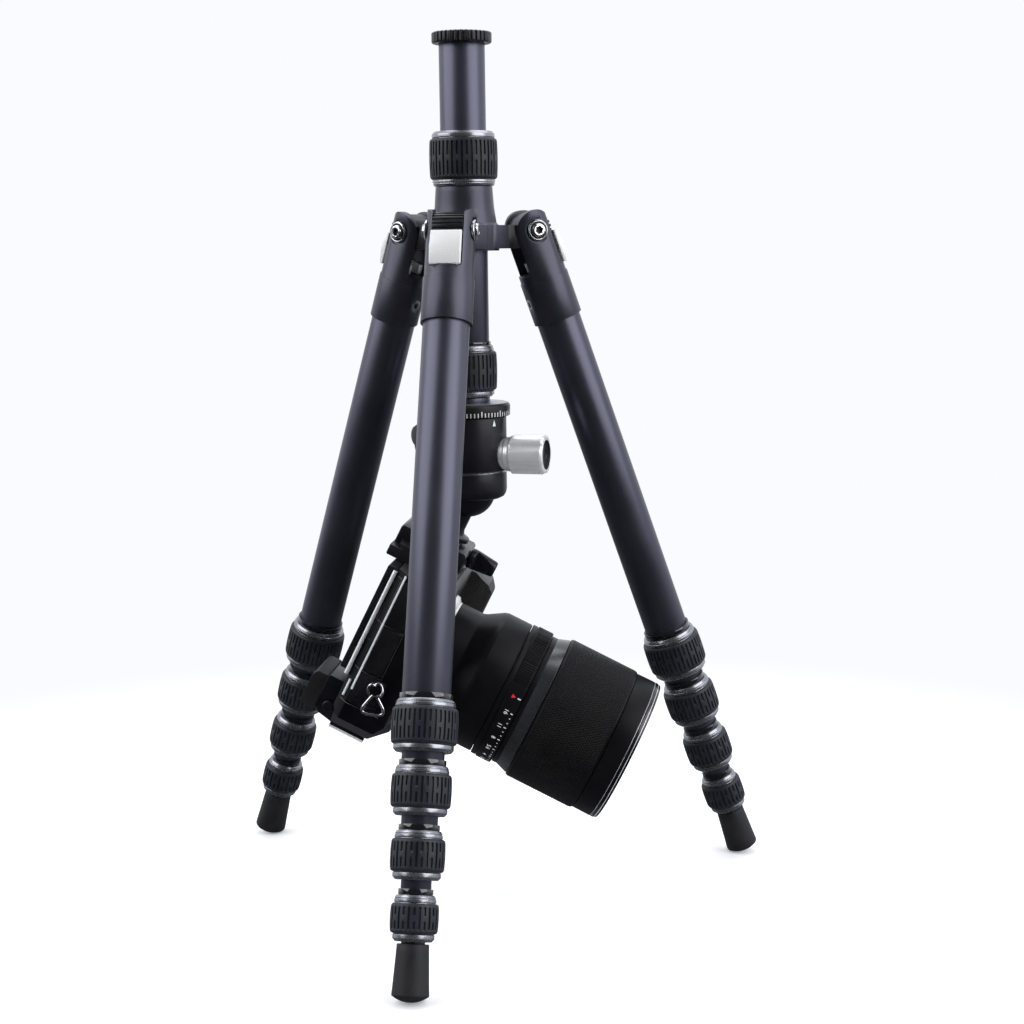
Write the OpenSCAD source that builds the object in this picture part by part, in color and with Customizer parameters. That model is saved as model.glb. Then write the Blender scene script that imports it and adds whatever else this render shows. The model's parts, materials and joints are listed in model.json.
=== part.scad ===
// Travel tripod with a reversed centre column, a ball head and a camera hung below it.
// Millimetres, +Z up, origin on the floor under the axis of the centre column.
// Leg 1 points along -Y, leg 2 along 30 degrees and leg 3 along 150 degrees.

/* [Tripod stance] */
// Angle of each leg from the vertical
splay = 20; // [19.5:0.1:20.5]
// Height of the leg hinges above the floor
hinge_z = 346; // [345:0.5:350]
// Distance of the leg hinges from the column axis
hinge_r = 35.3; // [35:0.1:37]

/* [Leg tubes] */
// Outside diameter of the top leg tube
tube_d = 23; // [22.8:0.1:23]
// Step in diameter from each leg tube to the next
tube_step = 3; // [3:0.1:3.2]
// Wall thickness of every leg tube
tube_wall = 1.2; // [1.1:0.05:1.2]
// Shift of the tube axis towards the column, from the hinge axis
tube_inset = 1.1; // [0.8:0.1:1.3]
// Least overlap left between two tubes when they are drawn out
tube_overlap = 45; // [40:1:60]

/* [Twist locks] */
// Distance of the top of each leg lock from the hinge, down the leg
lock_top = [227.5, 258, 287.5, 316.5];
// Distance of the bottom of each leg lock from the hinge, down the leg
lock_bottom = [254.5, 283.5, 312.5, 340];
// Height of the metal ring at each end of a lock
lock_ring_h = 4; // [3:0.5:5]
// How far the rubber sleeve of a lock stands out from the tube
lock_rubber_out = 4.15; // [4:0.05:4.3]

/* [Leg bracket] */
// Distance between the inner faces of the bracket's two ears
ear_gap = 16; // [15.6:0.1:16.4]
// Diameter of the bracket where it forks
bracket_d = 24.5; // [24.2:0.1:25]
// Radius of the round end of the ears
ear_r = 10.5; // [10:0.1:10.6]
// Radius of the ratchet knuckle between the ears
knuckle_r = 9.2; // [9:0.1:9.3]
// Radius of the hinge bolt
bolt_r = 4; // [3.5:0.5:4.5]

/* [Column] */
// Outside diameter of the centre column
column_d = 23.2; // [23:0.1:23.3]
// Height of the top of the column's end disc
column_top = 444.5; // [442:0.5:448]

/* [Ball head] */
// Height of the centre of the ball
ball_z = 213.2; // [213:0.1:214]
// Diameter of the ball
ball_d = 27.4; // [27:0.1:27.6]
// Diameter of the head's housing
housing_d = 39.7; // [39:0.1:40]
// Angle of the ball's stem from straight down
tilt = 26.8; // [24:0.1:28]
// Direction that the lens points to, seen from above
look = 3.65; // [2:0.05:5]

/* [Camera] */
// Distance from the ball centre to the base of the camera
base_up = 43; // [43:0.5:45]
// Height of the lens axis above the base of the camera
axis_up = 43.4; // [43:0.1:45]
// Width of the camera on the left side of the lens axis
left_w = 52; // [51:0.5:54]
// Width of the camera on the grip side of the lens axis
grip_w = 76; // [74:0.5:78]
// Diameter of the focus ring, the widest ring of the lens
focus_d = 79; // [78:0.5:79]
// Distance from the ball centre to the front of the lens, along the lens axis
lens_front = 135; // [134:0.5:137]

/* [Hidden] */
LEG_AZIMUTH = [-90, 30, 150];
LEG_PARTS = ["upper", "section_2", "section_3", "section_4", "section_5",
             "lock_1", "lock_2", "lock_3", "lock_4", "stop_tab"];
BODY_PARTS = ["spider", "hinge_bolts", "column_tube", "column_end_disc", "column_lock",
              "inner_column", "inner_column_lock", "pan_base", "head_body", "ball_seat",
              "ball_stem", "main_knob", "pan_knob", "clamp_body", "clamp_jaw", "clamp_knob",
              "release_plate", "camera_body", "camera_internals", "eyecup", "rear_screen",
              "port_door", "shutter_button", "mode_dial", "lens_barrel", "lens_glass",
              "aperture_ring", "focus_ring", "strap_ring_left", "strap_ring_right"];

$fn = 64;
fit = 0.05;         // radial clearance of a running fit
thread_gap = 0.15;  // radial clearance of a lock collar on its thread
gap = 0.3;          // clearance between bodies that only pass each other
glue = 0.05;        // thickness of a bonded joint
eps = 0.01;         // extra depth of a cut through a face

// colours
anodised = [0.42, 0.42, 0.47];
rubber = [0.12, 0.12, 0.15];
bright = [0.75, 0.75, 0.78];
black = [0.10, 0.10, 0.11];

// leg tubes
function tube_r(k) = (tube_d - (k - 1) * tube_step) / 2;
function bore_r(k) = tube_r(k) - tube_wall;
ferrule_wall = 1;               // how far a ferrule stands out from its tube
ferrule_lip = 2.5;              // height of a ferrule's visible collar
lip_h = 5;                      // height of the part of a lock that closes on the inner tube
bracket_floor = 21;             // bottom of the bracket's slot, down the leg
bracket_joint = 27;             // top of the top tube, inside the bracket
bracket_bottom = 47.5;          // bottom of the bracket's sleeve
collar_d = bracket_d + 1;       // diameter of the bracket's sleeve
collar_top = 25;                // where the sleeve begins
nest_step = 3;                  // how far each tube's top lies below the last one's
nest_top = 50;                  // top of the second tube at rest
bush_h = 12;                    // height of the guide bush at a tube's top
function tube_top(k) = k == 1 ? bracket_joint : nest_top + (k - 2) * nest_step;
function ferrule_end(k) = lock_bottom[k - 1] - lip_h - gap;
foot_top = 341;
foot_side = 363.4;              // where the foot's side meets its round sole
foot_r = 8.6;
foot_neck_r = 7.4;
sole_r = 14;                    // radius of the round sole
tube_5_end = 352;

// stop tab
tab_w = ear_gap - 2 * gap;
tab_top = 3.5;
tab_bottom = bracket_floor - 0.4;
tab_crease = 12;

// hinge bolts
bolt_head_r = 5.4;
bolt_head_recess_r = 6.5;
ear_recess = 11;                // distance of the recess floor from the leg's middle plane
bolt_face = 14;                 // distance of the bolt head's face from the same plane

// spider
arm_w = ear_gap - 0.8;
arm_top = 2.8;                  // top of an arm, above the hinge
arm_bottom = -10;
hub_r = 17.5;
neck_top = 368.1;
stub_top = 389;                 // top of the threaded stub inside the column lock
stub_r = 13;

// column
column_r = column_d / 2;
column_bore_r = column_r - 1.25;
disc_r = 15.1;
disc_h = 5.5;
column_end = 268;               // lower end of the column tube
inner_r = column_bore_r - gap;
inner_top = 425;

// head
pan_top = 259.2;
pan_face = 252.2;
pan_r = 21.9;
spindle_r = 6;
spindle_end = 240;
housing_top = pan_face - gap;
housing_bottom = 209.5;
seat_r = 15;
seat_top = 227.2;
seat_bottom = 217.5;
main_knob_z = 232.5;
main_knob_azimuth = -6.85;
pan_knob_z = 243.5;
pan_knob_azimuth = -138.85;
ball_r = ball_d / 2;
stem_screw_end = 29.2;

// clamp and plate, in the hung frame
clamp_near = 26;                // side of the clamp that faces the ball
clamp_floor = 34.3;
plate_under = 37.6;
clamp_half = 20;                // half the length of the clamp's jaws
plate_half = 29.5;
rail_mid = -3.5;
rail_low = 34.7;
rail_half = 14.5;
knob_z = 31.6;

// camera, in the hung frame
axis_z = base_up + axis_up;
shoulder_z = 124.5;
rear_x = -11.5;
screen_hinge = [-15.8, base_up + 1.9];
knuckle_y = 0;
knuckle_w = 14;
pin_reach = 3;
door_edge_r = 0.65;
front_x = 18.5;
hump_z = 141;
shoe_z = 144.6;
lug = [4.9, 102.4];
mount_x = 21.7;

module turned(points) rotate_extrude() polygon(points);

// Puts a leg's own frame in place: the hinge at its origin, the leg down its -Z, out along +X
module at_leg(i)
    rotate([0, 0, LEG_AZIMUTH[i - 1]])
        translate([hinge_r, 0, hinge_z])
            rotate([0, -splay, 0])
                children();

// Moves to a distance down the leg, on the axis of its tubes
module down_leg(s) translate([-tube_inset, 0, -s]) children();

// Puts the hung frame in place: the ball centre at its origin, +X along the lens,
// +Y to the camera's left and +Z along the ball's stem, which is the camera's own up
module hung()
    translate([0, 0, ball_z])
        rotate([0, 0, look])
            rotate([0, tilt, 0])
                rotate([180, 0, 0])
                    children();

// Turns a shape made about +Z so that it lies about the lens axis
module on_lens() translate([0, 0, axis_z]) rotate([0, 90, 0]) children();

// ---------------------------------------------------------------- legs

module fork_blank()
    intersection() {
        down_leg(collar_top) cylinder(h = collar_top + ear_r + 1, d = bracket_d);
        rotate([90, 0, 0])
            linear_extrude(height = bracket_d + 2, center = true)
                union() {
                    circle(r = ear_r);
                    translate([-tube_inset - bracket_d / 2, -collar_top])
                        square([bracket_d, collar_top - 6]);
                    polygon([[-tube_inset - bracket_d / 2, -6.5], [-ear_r, 0], [ear_r, 0],
                             [bracket_d / 2 - tube_inset, -6.5]]);
                }
    }

module bracket() {
    difference() {
        union() {
            fork_blank();
            down_leg(bracket_bottom)
                cylinder(h = bracket_bottom - collar_top, d = collar_d);
        }
        translate([-20, -ear_gap / 2, -bracket_floor])
            cube([40, ear_gap, bracket_floor + ear_r + 2]);
        down_leg(bracket_bottom + 1)
            cylinder(h = bracket_bottom + 1 - bracket_joint + glue, r = tube_r(1) + glue);
        rotate([90, 0, 0])
            cylinder(h = 40, r = bolt_r + fit, center = true);
        for (side = [-1, 1])
            translate([0, side * (ear_recess + 5), 0])
                rotate([90, 0, 0])
                    cylinder(h = 10, r = bolt_head_recess_r, center = true);
        translate([-tube_inset - collar_d / 2 - 1, 0, -36])
            rotate([0, 90, 0])
                cylinder(h = 4, r = 3.3);
    }
    // grub screw that pins the tube to the bracket
    translate([-tube_inset - collar_d / 2 + 0.3, 0, -36])
        rotate([0, 90, 0])
            difference() {
                cylinder(h = 1, r = 3.2);
                translate([0, 0, -eps]) cylinder(h = 0.8, r = 1.6, $fn = 6);
            }
}

// Screwed ferrule at the lower end of tube k, under its lock
module ferrule(k) {
    r = tube_r(k) + glue;
    down_leg(ferrule_end(k))
        turned([[r, 0], [r + ferrule_wall - 0.15, 0],
                [r + ferrule_wall - 0.15, ferrule_end(k) - lock_top[k - 1] - ferrule_lip],
                [r + ferrule_wall, ferrule_end(k) - lock_top[k - 1] - ferrule_lip],
                [r + ferrule_wall, ferrule_end(k) - lock_top[k - 1]],
                [r, ferrule_end(k) - lock_top[k - 1]]]);
}

module leg_upper() color(anodised) {
    bracket();
    down_leg(ferrule_end(1))
        turned([[bore_r(1), 0], [tube_r(1), 0], [tube_r(1), ferrule_end(1) - bracket_joint],
                [bore_r(1), ferrule_end(1) - bracket_joint]]);
    ferrule(1);
}

// Tube k with the guide bush that runs in the tube above it
module leg_tube(k, end) {
    h = end - tube_top(k);
    bush_r = bore_r(k - 1) - fit;
    down_leg(end)
        turned([[bore_r(k), 0], [tube_r(k), 0], [tube_r(k), h - bush_h],
                [bush_r, h - bush_h + 1], [bush_r, h - 1], [tube_r(k), h], [bore_r(k), h]]);
}

module leg_section(k) color(anodised) {
    leg_tube(k, ferrule_end(k));
    ferrule(k);
}

module leg_section_5() {
    color(anodised) leg_tube(5, tube_5_end);
    color(rubber) foot();
}

// Rubber foot with a round sole that touches the floor at the leg's splay
module foot() {
    sole_mid = (hinge_z - tube_inset * sin(splay) - sole_r) / cos(splay);
    down_leg(0)
        difference() {
            union() {
                translate([0, 0, -foot_side])
                    cylinder(h = foot_side - foot_top, r1 = foot_r, r2 = foot_neck_r);
                intersection() {
                    translate([0, 0, -sole_mid]) sphere(r = sole_r);
                    translate([0, 0, -foot_side - 5]) cylinder(h = 5 + eps, r = foot_r);
                }
            }
            translate([0, 0, -tube_5_end - glue])
                cylinder(h = 40, r = tube_r(5) + glue);
        }
}

// Collar of lock k: it turns on the ferrule of tube k and closes on tube k + 1
module leg_lock(k) color(rubber) {
    out = tube_r(k) + lock_rubber_out;
    ring = out - 1.55;
    top = lock_top[k - 1] + ferrule_lip + gap;
    h = lock_bottom[k - 1] - top;
    screw_r = tube_r(k) + glue + ferrule_wall - 0.15 + thread_gap;
    chamfer = 1.2;
    down_leg(lock_bottom[k - 1])
        turned([[tube_r(k + 1) + gap, 0], [ring - chamfer, 0], [ring, chamfer],
                [ring, lock_ring_h - 1], [out - 0.7, lock_ring_h], [out, lock_ring_h + 1.5],
                [out, h - lock_ring_h - 1], [out - 0.7, h - lock_ring_h + 0.5],
                [ring, h - lock_ring_h + 1], [ring, h - chamfer], [ring - chamfer, h],
                [screw_r, h], [screw_r, lip_h], [tube_r(k + 1) + gap, lip_h]]);
}

// Sprung tab that is pulled out to free the leg's ratchet
module stop_tab() color(bright) {
    rotate([90, 0, 0])
        linear_extrude(height = tab_w, center = true)
            polygon([[9.5, -tab_top], [11.2, -tab_top], [13, -tab_crease],
                     [11.4, -tab_bottom], [9.6, -tab_bottom], [9.5, -tab_crease]]);
    for (side = [-1, 1])
        translate([-7, side * 4 - 1.5, -tab_bottom])
            cube([17, 3, 5]);
}

// ---------------------------------------------------------------- spider and column

module knuckle()
    difference() {
        rotate([90, 0, 0])
            cylinder(h = arm_w, r = knuckle_r, center = true);
        for (a = [-4:14:66])
            rotate([0, -a, 0])
                translate([knuckle_r, 0, 0])
                    cube([1.4, arm_w + 1, 1], center = true);
    }

module spider() color(anodised)
    difference() {
        union() {
            translate([0, 0, hinge_z + arm_bottom])
                turned([[0, 0], [hub_r, 0], [hub_r, -arm_bottom + arm_top],
                        [16.3, 4 - arm_bottom], [15.1, 12 - arm_bottom],
                        [14.4, neck_top - hinge_z - arm_bottom],
                        [stub_r, neck_top - hinge_z - arm_bottom],
                        [stub_r, stub_top - hinge_z - arm_bottom],
                        [0, stub_top - hinge_z - arm_bottom]]);
            for (a = LEG_AZIMUTH)
                rotate([0, 0, a]) {
                    translate([0, -arm_w / 2, hinge_z + arm_bottom + 1])
                        cube([hinge_r, arm_w, arm_top - arm_bottom - 1]);
                    translate([0, 0, hinge_z + arm_bottom + 1])
                        linear_extrude(height = arm_top - arm_bottom - 1)
                            polygon([[0, -14], [12, -14], [21, -arm_w / 2],
                                     [21, arm_w / 2], [12, 14], [0, 14]]);
                    translate([hinge_r, 0, hinge_z]) knuckle();
                }
        }
        translate([0, 0, hinge_z - 30])
            cylinder(h = 100, r = column_r + fit);
        for (a = LEG_AZIMUTH)
            rotate([0, 0, a])
                translate([hinge_r, 0, hinge_z])
                    rotate([90, 0, 0])
                        cylinder(h = arm_w + 2, r = bolt_r, center = true);
    }

module hinge_bolts() color(bright)
    for (a = LEG_AZIMUTH)
        rotate([0, 0, a])
            translate([hinge_r, 0, hinge_z])
                rotate([90, 0, 0])
                    difference() {
                        union() {
                            cylinder(h = 2 * bolt_face - 4, r = bolt_r, center = true);
                            for (side = [0, 180])
                                rotate([side, 0, 0])
                                    translate([0, 0, ear_recess + gap])
                                        turned([[0, 0], [bolt_head_r, 0], [bolt_head_r, 1.9],
                                                [bolt_head_r - 0.8, 2.7], [0, 2.7]]);
                        }
                        for (side = [0, 180])
                            rotate([side, 0, 0])
                                translate([0, 0, bolt_face - 2])
                                    cylinder(h = 3, r = 1.75, $fn = 6);
                    }

module column_tube() color(anodised) {
    translate([0, 0, column_end])
        turned([[column_bore_r, 0], [column_r, 0], [column_r, column_top - 2 - column_end],
                [column_bore_r, column_top - 2 - column_end]]);
    // ferrule of the lower lock
    translate([0, 0, column_end])
        turned([[column_r + glue, 0], [column_r + 0.75, 0], [column_r + 0.75, 20.5],
                [column_r + 0.9, 20.5], [column_r + 0.9, 22], [column_r + glue, 22]]);
}

module column_end_disc() color(anodised) {
    difference() {
        translate([0, 0, column_top - disc_h])
            turned([[column_r + glue, 0], [disc_r - 0.6, 0], [disc_r, 0.6],
                    [disc_r, disc_h - 0.6], [disc_r - 0.6, disc_h], [0, disc_h],
                    [0, disc_h - 1.9], [column_r + glue, disc_h - 1.9]]);
        for (a = [0:10:350])
            rotate([0, 0, a])
                translate([disc_r, 0, column_top - disc_h])
                    rotate([0, 0, 45])
                        cube([0.9, 0.9, 3 * disc_h], center = true);
    }
}

module column_lock() color(rubber)
    translate([0, 0, neck_top + gap])
        turned([[stub_r + thread_gap, 0], [15, 0], [15.9, 0.9], [15.9, 2.1], [16.8, 2.4], [17.3, 4],
                [17.3, 23], [16.8, 24.6], [15.9, 24.8], [15.9, 26.3], [14.9, 27.2],
                [column_r + gap, 27.2], [column_r + gap, 21.5], [stub_r + thread_gap, 21.5]]);

module inner_column() color(anodised)
    translate([0, 0, pan_top])
        turned([[inner_r - 1.5, 0], [11.6, 0], [11.6, 2.4], [inner_r, 2.4],
                [inner_r, inner_top - pan_top - 12],
                [column_bore_r - fit, inner_top - pan_top - 11],
                [column_bore_r - fit, inner_top - pan_top - 1],
                [inner_r, inner_top - pan_top], [inner_r - 1.5, inner_top - pan_top]]);

module inner_column_lock() color(rubber)
    translate([0, 0, 262])
        turned([[inner_r + gap, 0], [12.8, 0], [13.8, 1], [13.8, 2.3], [15, 2.8], [15.5, 4],
                [15.5, 22], [15, 23.2], [14.3, 23.6], [14.3, 25.4], [13.4, 26.3],
                [column_r + 0.8, 26.3], [column_r + 0.8, 5.6], [inner_r + gap, 5.6]]);

// ---------------------------------------------------------------- ball head

module pan_base() color(black) {
    translate([0, 0, pan_face])
        turned([[spindle_r - 1, 0], [pan_r - 0.4, 0], [pan_r, 0.4], [pan_r, 5.6], [pan_r - 1.2, 6.8],
                [11, pan_top - pan_face], [spindle_r - 1, pan_top - pan_face]]);
    translate([0, 0, spindle_end])
        cylinder(h = pan_face - spindle_end + 1, r = spindle_r);
}

module head_body() color(black)
    difference() {
        translate([0, 0, housing_bottom])
            turned([[0, 0], [16.2, 0], [18.2, 1], [19.3, 2.8], [19.7, 5],
                    [19.7, 13.6], [19.2, 13.9], [19.2, 14.4], [housing_d / 2, 14.8],
                    [housing_d / 2, housing_top - housing_bottom - 0.4],
                    [housing_d / 2 - 0.4, housing_top - housing_bottom],
                    [0, housing_top - housing_bottom]]);
        translate([0, 0, ball_z]) sphere(r = ball_r + fit);
        translate([0, 0, seat_bottom - gap])
            cylinder(h = seat_top + gap - seat_bottom + gap, r = seat_r + fit);
        translate([0, 0, spindle_end - gap])
            cylinder(h = 30, r = spindle_r + fit);
        rotate([0, 0, main_knob_azimuth])
            translate([8 - gap, 0, main_knob_z])
                rotate([0, 90, 0]) {
                    cylinder(h = 30, r = 4 + fit);
                    translate([0, 0, 9.2]) cylinder(h = 30, r = 8.4);
                }
        rotate([0, 0, pan_knob_azimuth])
            translate([spindle_r + gap, 0, pan_knob_z])
                rotate([0, 90, 0])
                    cylinder(h = 30, r = 2.5 + fit);
    }

module ball_seat() color(bright)
    difference() {
        translate([0, 0, seat_bottom])
            cylinder(h = seat_top - seat_bottom, r = seat_r);
        translate([0, 0, ball_z]) sphere(r = ball_r + fit);
        translate([0, 0, seat_bottom - 1]) cylinder(h = 20, r = 6);
    }

module ball_stem() color(black)
    hung()
        difference() {
            union() {
                sphere(r = ball_r);
                turned([[0, 8], [7, 8], [7, 20], [8, 22.6], [11.5, 23.4], [11.5, clamp_near - gap],
                        [0, clamp_near - gap]]);
                cylinder(h = stem_screw_end, r = 3);
            }
            translate([0, 0, stem_screw_end - 2]) cylinder(h = 3, r = 1.6, $fn = 6);
        }

module main_knob() color(bright)
    rotate([0, 0, main_knob_azimuth])
        translate([0, 0, main_knob_z])
            rotate([0, 90, 0])
                difference() {
                    union() {
                        translate([0, 0, 8]) cylinder(h = 12, r = 4);
                        translate([0, 0, 18])
                            turned([[0, 0], [8, 0], [8, 2.4], [8.8, 3], [9.1, 5.6], [10.25, 6.4],
                                    [10.25, 23], [9.4, 24], [0, 24]]);
                    }
                    for (a = [0:60:300])
                        rotate([0, 0, a])
                            translate([15.6, 0, 23.8])
                                cylinder(h = 20, r = 6.4);
                    translate([0, 0, 41.2]) cylinder(h = 3, r = 7.4);
                }

module pan_knob() color(black)
    rotate([0, 0, pan_knob_azimuth])
        translate([0, 0, pan_knob_z])
            rotate([0, 90, 0])
                union() {
                    translate([0, 0, spindle_r + 2 * gap]) cylinder(h = 16, r = 2.5);
                    translate([0, 0, 20.4])
                        turned([[0, 0], [5, 0], [5.6, 1.6], [5.6, 9], [4.8, 10.4], [0, 10.4]]);
                    // lever tail, pointing down at rest
                    translate([0, 0, 23])
                        linear_extrude(height = 6.5)
                            union() {
                                polygon([[1, -5.4], [10.4, -1.9], [10.4, 1.9], [1, 5.4]]);
                                translate([10.2, 0]) circle(r = 2);
                            }
                }

// ---------------------------------------------------------------- clamp, in the hung frame

module clamp_body() color(black)
    hung()
        difference() {
            union() {
                translate([0, 0, clamp_near])
                    turned([[0, 0], [16, 0], [17.5, 1.2], [17.5, 4], [0, 4]]);
                rotate([90, 0, 0])
                    linear_extrude(height = 2 * clamp_half, center = true)
                        polygon([[8.5, 28], [8.5, clamp_floor], [-18.4, clamp_floor],
                                 [-18.4, 35.1], [-16.2, 37.3], [-21.8, 37.3], [-21.8, 28.8],
                                 [-20.6, 27.6]]);
            }
            translate([8.5, -30, clamp_near - 1]) cube([20, 60, 20]);
            translate([0, 0, clamp_near - 1]) cylinder(h = 20, r = 3 + glue);
            translate([-12, 0, knob_z]) rotate([0, 90, 0]) cylinder(h = 30, r = 1.9 + fit);
        }

module clamp_jaw() color(black)
    hung()
        difference() {
            rotate([90, 0, 0])
                linear_extrude(height = 2 * clamp_half, center = true)
                    polygon([[8.8, 27.4], [13.8, 27.4], [15, 28.6], [15, 37.3], [9.2, 37.3],
                             [11.4, 35.1], [11.4, clamp_floor], [8.8, clamp_floor]]);
            translate([-12, 0, knob_z]) rotate([0, 90, 0]) cylinder(h = 40, r = 1.9 + fit);
        }

// Clamp knob: a cone with two flats for the fingers, on a screw that draws the jaw in
module clamp_knob() color(black)
    hung()
        translate([0, 0, knob_z])
            rotate([0, 90, 0])
                union() {
                    translate([0, 0, -6]) cylinder(h = 24, r = 1.9);
                    translate([0, 0, 15.3])
                        difference() {
                            turned([[0, 0], [4.6, 0], [5.4, 0.8], [5.4, 3], [4.2, 14.4],
                                    [3.6, 15.2], [0, 15.2]]);
                            for (side = [90, 270])
                                rotate([0, 0, side])
                                    translate([5.4, 0, 11])
                                        rotate([0, 12, 0])
                                            cube([4, 12, 16], center = true);
                        }
                }

module release_plate() color(anodised)
    hung()
        difference() {
            union() {
                rotate([90, 0, 0])
                    linear_extrude(height = 2 * plate_half, center = true)
                        polygon([[-22.3, plate_under], [-22.3, base_up - 0.6],
                                 [-21.7, base_up], [15.4, base_up], [16, base_up - 0.6],
                                 [16, plate_under],
                                 [rail_mid + 12.3, plate_under], [rail_mid + 12.3, 37.3],
                                 [rail_mid + rail_half, rail_low + 0.4],
                                 [rail_mid + rail_half, rail_low],
                                 [rail_mid - rail_half, rail_low],
                                 [rail_mid - rail_half, rail_low + 0.4],
                                 [rail_mid - 12.3, 37.3], [rail_mid - 12.3, plate_under]]);
                // camera screw
                translate([0, 0, plate_under]) cylinder(h = 11, r = 3.1);
            }
            translate([0, 0, rail_low - 1])
                difference() {
                    cylinder(h = 3.2, r = 8.5);
                    cylinder(h = 4, r = 7.6);
                }
            translate([0, 0, rail_low - 1]) cube([1.6, 12, 5], center = true);
        }

// ---------------------------------------------------------------- camera, in the hung frame

// Extrudes a side outline, drawn as x across and z up, from one y to another
module side_extrude(y0, y1)
    translate([0, y1, 0])
        rotate([90, 0, 0])
            linear_extrude(height = y1 - y0)
                children();

module body_blank() {
    intersection() {
        side_extrude(-grip_w, left_w)
            polygon([[rear_x, base_up + 1], [rear_x + 1, base_up], [front_x - 2, base_up],
                     [front_x, base_up + 3], [front_x, 117], [13, shoulder_z],
                     [-9, shoulder_z], [rear_x, 122]]);
        translate([0, 0, base_up - 1])
            linear_extrude(height = 100)
                polygon([[rear_x, 4 - grip_w], [rear_x + 4, -grip_w], [12, -grip_w],
                         [front_x, 7 - grip_w], [front_x, left_w - 8], [8, left_w],
                         [-6.3, left_w], [rear_x, left_w - 6]]);
    }
    // grip
    intersection() {
        side_extrude(-grip_w, -43)
            polygon([[10, 46.6], [21, 46.6], [29.5, 50.2], [32.5, 52.6], [33.5, 56],
                     [33.5, 97], [31, 108], [26, 115], [18, 118.5], [10, 118.5]]);
        translate([0, 0, base_up])
            linear_extrude(height = 90)
                union() {
                    translate([10, -grip_w]) square([12, grip_w - 43]);
                    translate([24.5, -grip_w + 9]) circle(r = 9);
                    translate([26.5, -50]) circle(r = 7);
                    polygon([[10, -grip_w], [24.5, -grip_w], [33.5, -grip_w + 9],
                             [33.5, -50], [26.5, -43], [10, -43]]);
                }
    }
    // viewfinder hump and eyepiece housing
    intersection() {
        side_extrude(-30, 30)
            polygon([[rear_x - 10.5, 117], [rear_x - 10.5, 136], [rear_x - 8, 139],
                     [rear_x, hump_z], [9.6, hump_z], [19.4, 127.5], [front_x - 0.5, 117]]);
        union() {
            rotate([90, 0, 90])
                linear_extrude(height = 80, center = true)
                    polygon([[-19, 100], [-19, 128], [-12.5, hump_z], [12.5, hump_z],
                             [19, 128], [19, 100]]);
            rotate([90, 0, 90])
                translate([0, 0, rear_x])
                    linear_extrude(height = 60)
                        polygon([[-29, 110], [-29, 124], [-12.5, hump_z], [12.5, hump_z],
                                 [29, 124], [29, 110]]);
        }
    }
    // lens mount boss
    on_lens() translate([0, 0, 10]) cylinder(h = 11.4, r = 31.5);
}

module camera_body() color(black)
    hung() {
        difference() {
            body_blank();
            // main cavity and the battery's bay in the grip
            translate([-9, 6 - grip_w, base_up + 3])
                cube([24, grip_w + left_w - 16, shoulder_z - base_up - 7]);
            translate([15 - eps, -69, base_up + 10]) cube([14, 20, 56]);
            // lens mount throat
            on_lens() cylinder(h = 30, r = 23);
            // tripod socket
            translate([0, 0, base_up - 1]) cylinder(h = 7, r = 3.1 + glue);
            // recess of the port door, with two sockets in it
            translate([-6, left_w - 2.6, 71.4]) cube([11, 4, 25.6]);
            translate([-0.5, left_w - 8, 78]) rotate([-90, 0, 0]) cylinder(h = 8, r = 1.8);
            translate([-3.5, left_w - 8, 85]) cube([6, 8, 8]);
            // shutter button and mode dial seats
            translate([24, -60, 110]) cylinder(h = 12, r = 4 + gap);
            translate([24, -60, 117.2]) cylinder(h = 5, r = 5.2 + gap);
            translate([3, -40, shoulder_z - 3]) cylinder(h = 12, r = 4 + gap);
            // eyepiece window
            translate([-40, -11, 121]) cube([24, 22, 14]);
        }
        // steel accessory shoe: floor and two folded rails
        translate([rear_x, -10.5, hump_z]) cube([19.9, 21, 0.8]);
        for (side = [-1, 1])
            translate([0, side * 8.3, 0]) {
                translate([rear_x, side * 1.45 - 0.75, hump_z])
                    cube([19.9, 1.5, shoe_z - hump_z]);
                translate([rear_x, -2.2, shoe_z - 0.9])
                    cube([19.9, 4.4, 0.9]);
            }
        // knuckle and pin of the rear screen's hinge
        translate([screen_hinge[0], knuckle_y, screen_hinge[1] - 0.5])
            cube([rear_x + 0.5 - screen_hinge[0], knuckle_w, 1]);
        on_screen_hinge(0) cylinder(h = knuckle_w, r = 1);
        on_screen_hinge(-pin_reach) cylinder(h = knuckle_w + 2 * pin_reach, r = 0.5);
        // strap lugs
        for (side = [-1, 1])
            translate([lug[0], side > 0 ? left_w : -grip_w, lug[1]])
                rotate([-90 * side, 0, 0])
                    turned([[0, -1], [3.2, -1], [3.2, 0.8], [1.5, 0.8], [1.5, 3.6], [2.5, 3.6],
                            [2.5, 4.4], [0, 4.4]]);
    }

module camera_internals() color([0.25, 0.35, 0.3])
    hung() {
        // image sensor on its stabiliser plate
        translate([-4, -22, axis_z - 16]) cube([1.4, 44, 32]);
        translate([-2.6, -18, axis_z - 12]) cube([0.8, 36, 24]);
        // shutter unit
        difference() {
            translate([1, -26, axis_z - 22]) cube([5, 52, 44]);
            translate([0, -18.5, axis_z - 12.5]) cube([8, 37, 25]);
        }
        // main circuit board
        translate([-9, -60, base_up + 6]) cube([1.6, 96, 70]);
        // battery
        translate([13, -68.5, base_up + 10.5]) cube([15.5, 19, 51]);
    }

module eyecup() color(rubber)
    hung()
        difference() {
            side_extrude(-18.5, 18.5)
                polygon([[-22.1, 117.5], [-29, 117.5], [-30.3, 119], [-30.3, 135.5],
                         [-28.5, 137.6], [-22.1, 138.6]]);
            translate([-40, -11, 121]) cube([24, 22, 14]);
        }

// Along the rear screen's hinge, from a distance beyond the knuckle's end
module on_screen_hinge(start)
    translate([screen_hinge[0], knuckle_y + start, screen_hinge[1]])
        rotate([-90, 0, 0]) children();

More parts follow.
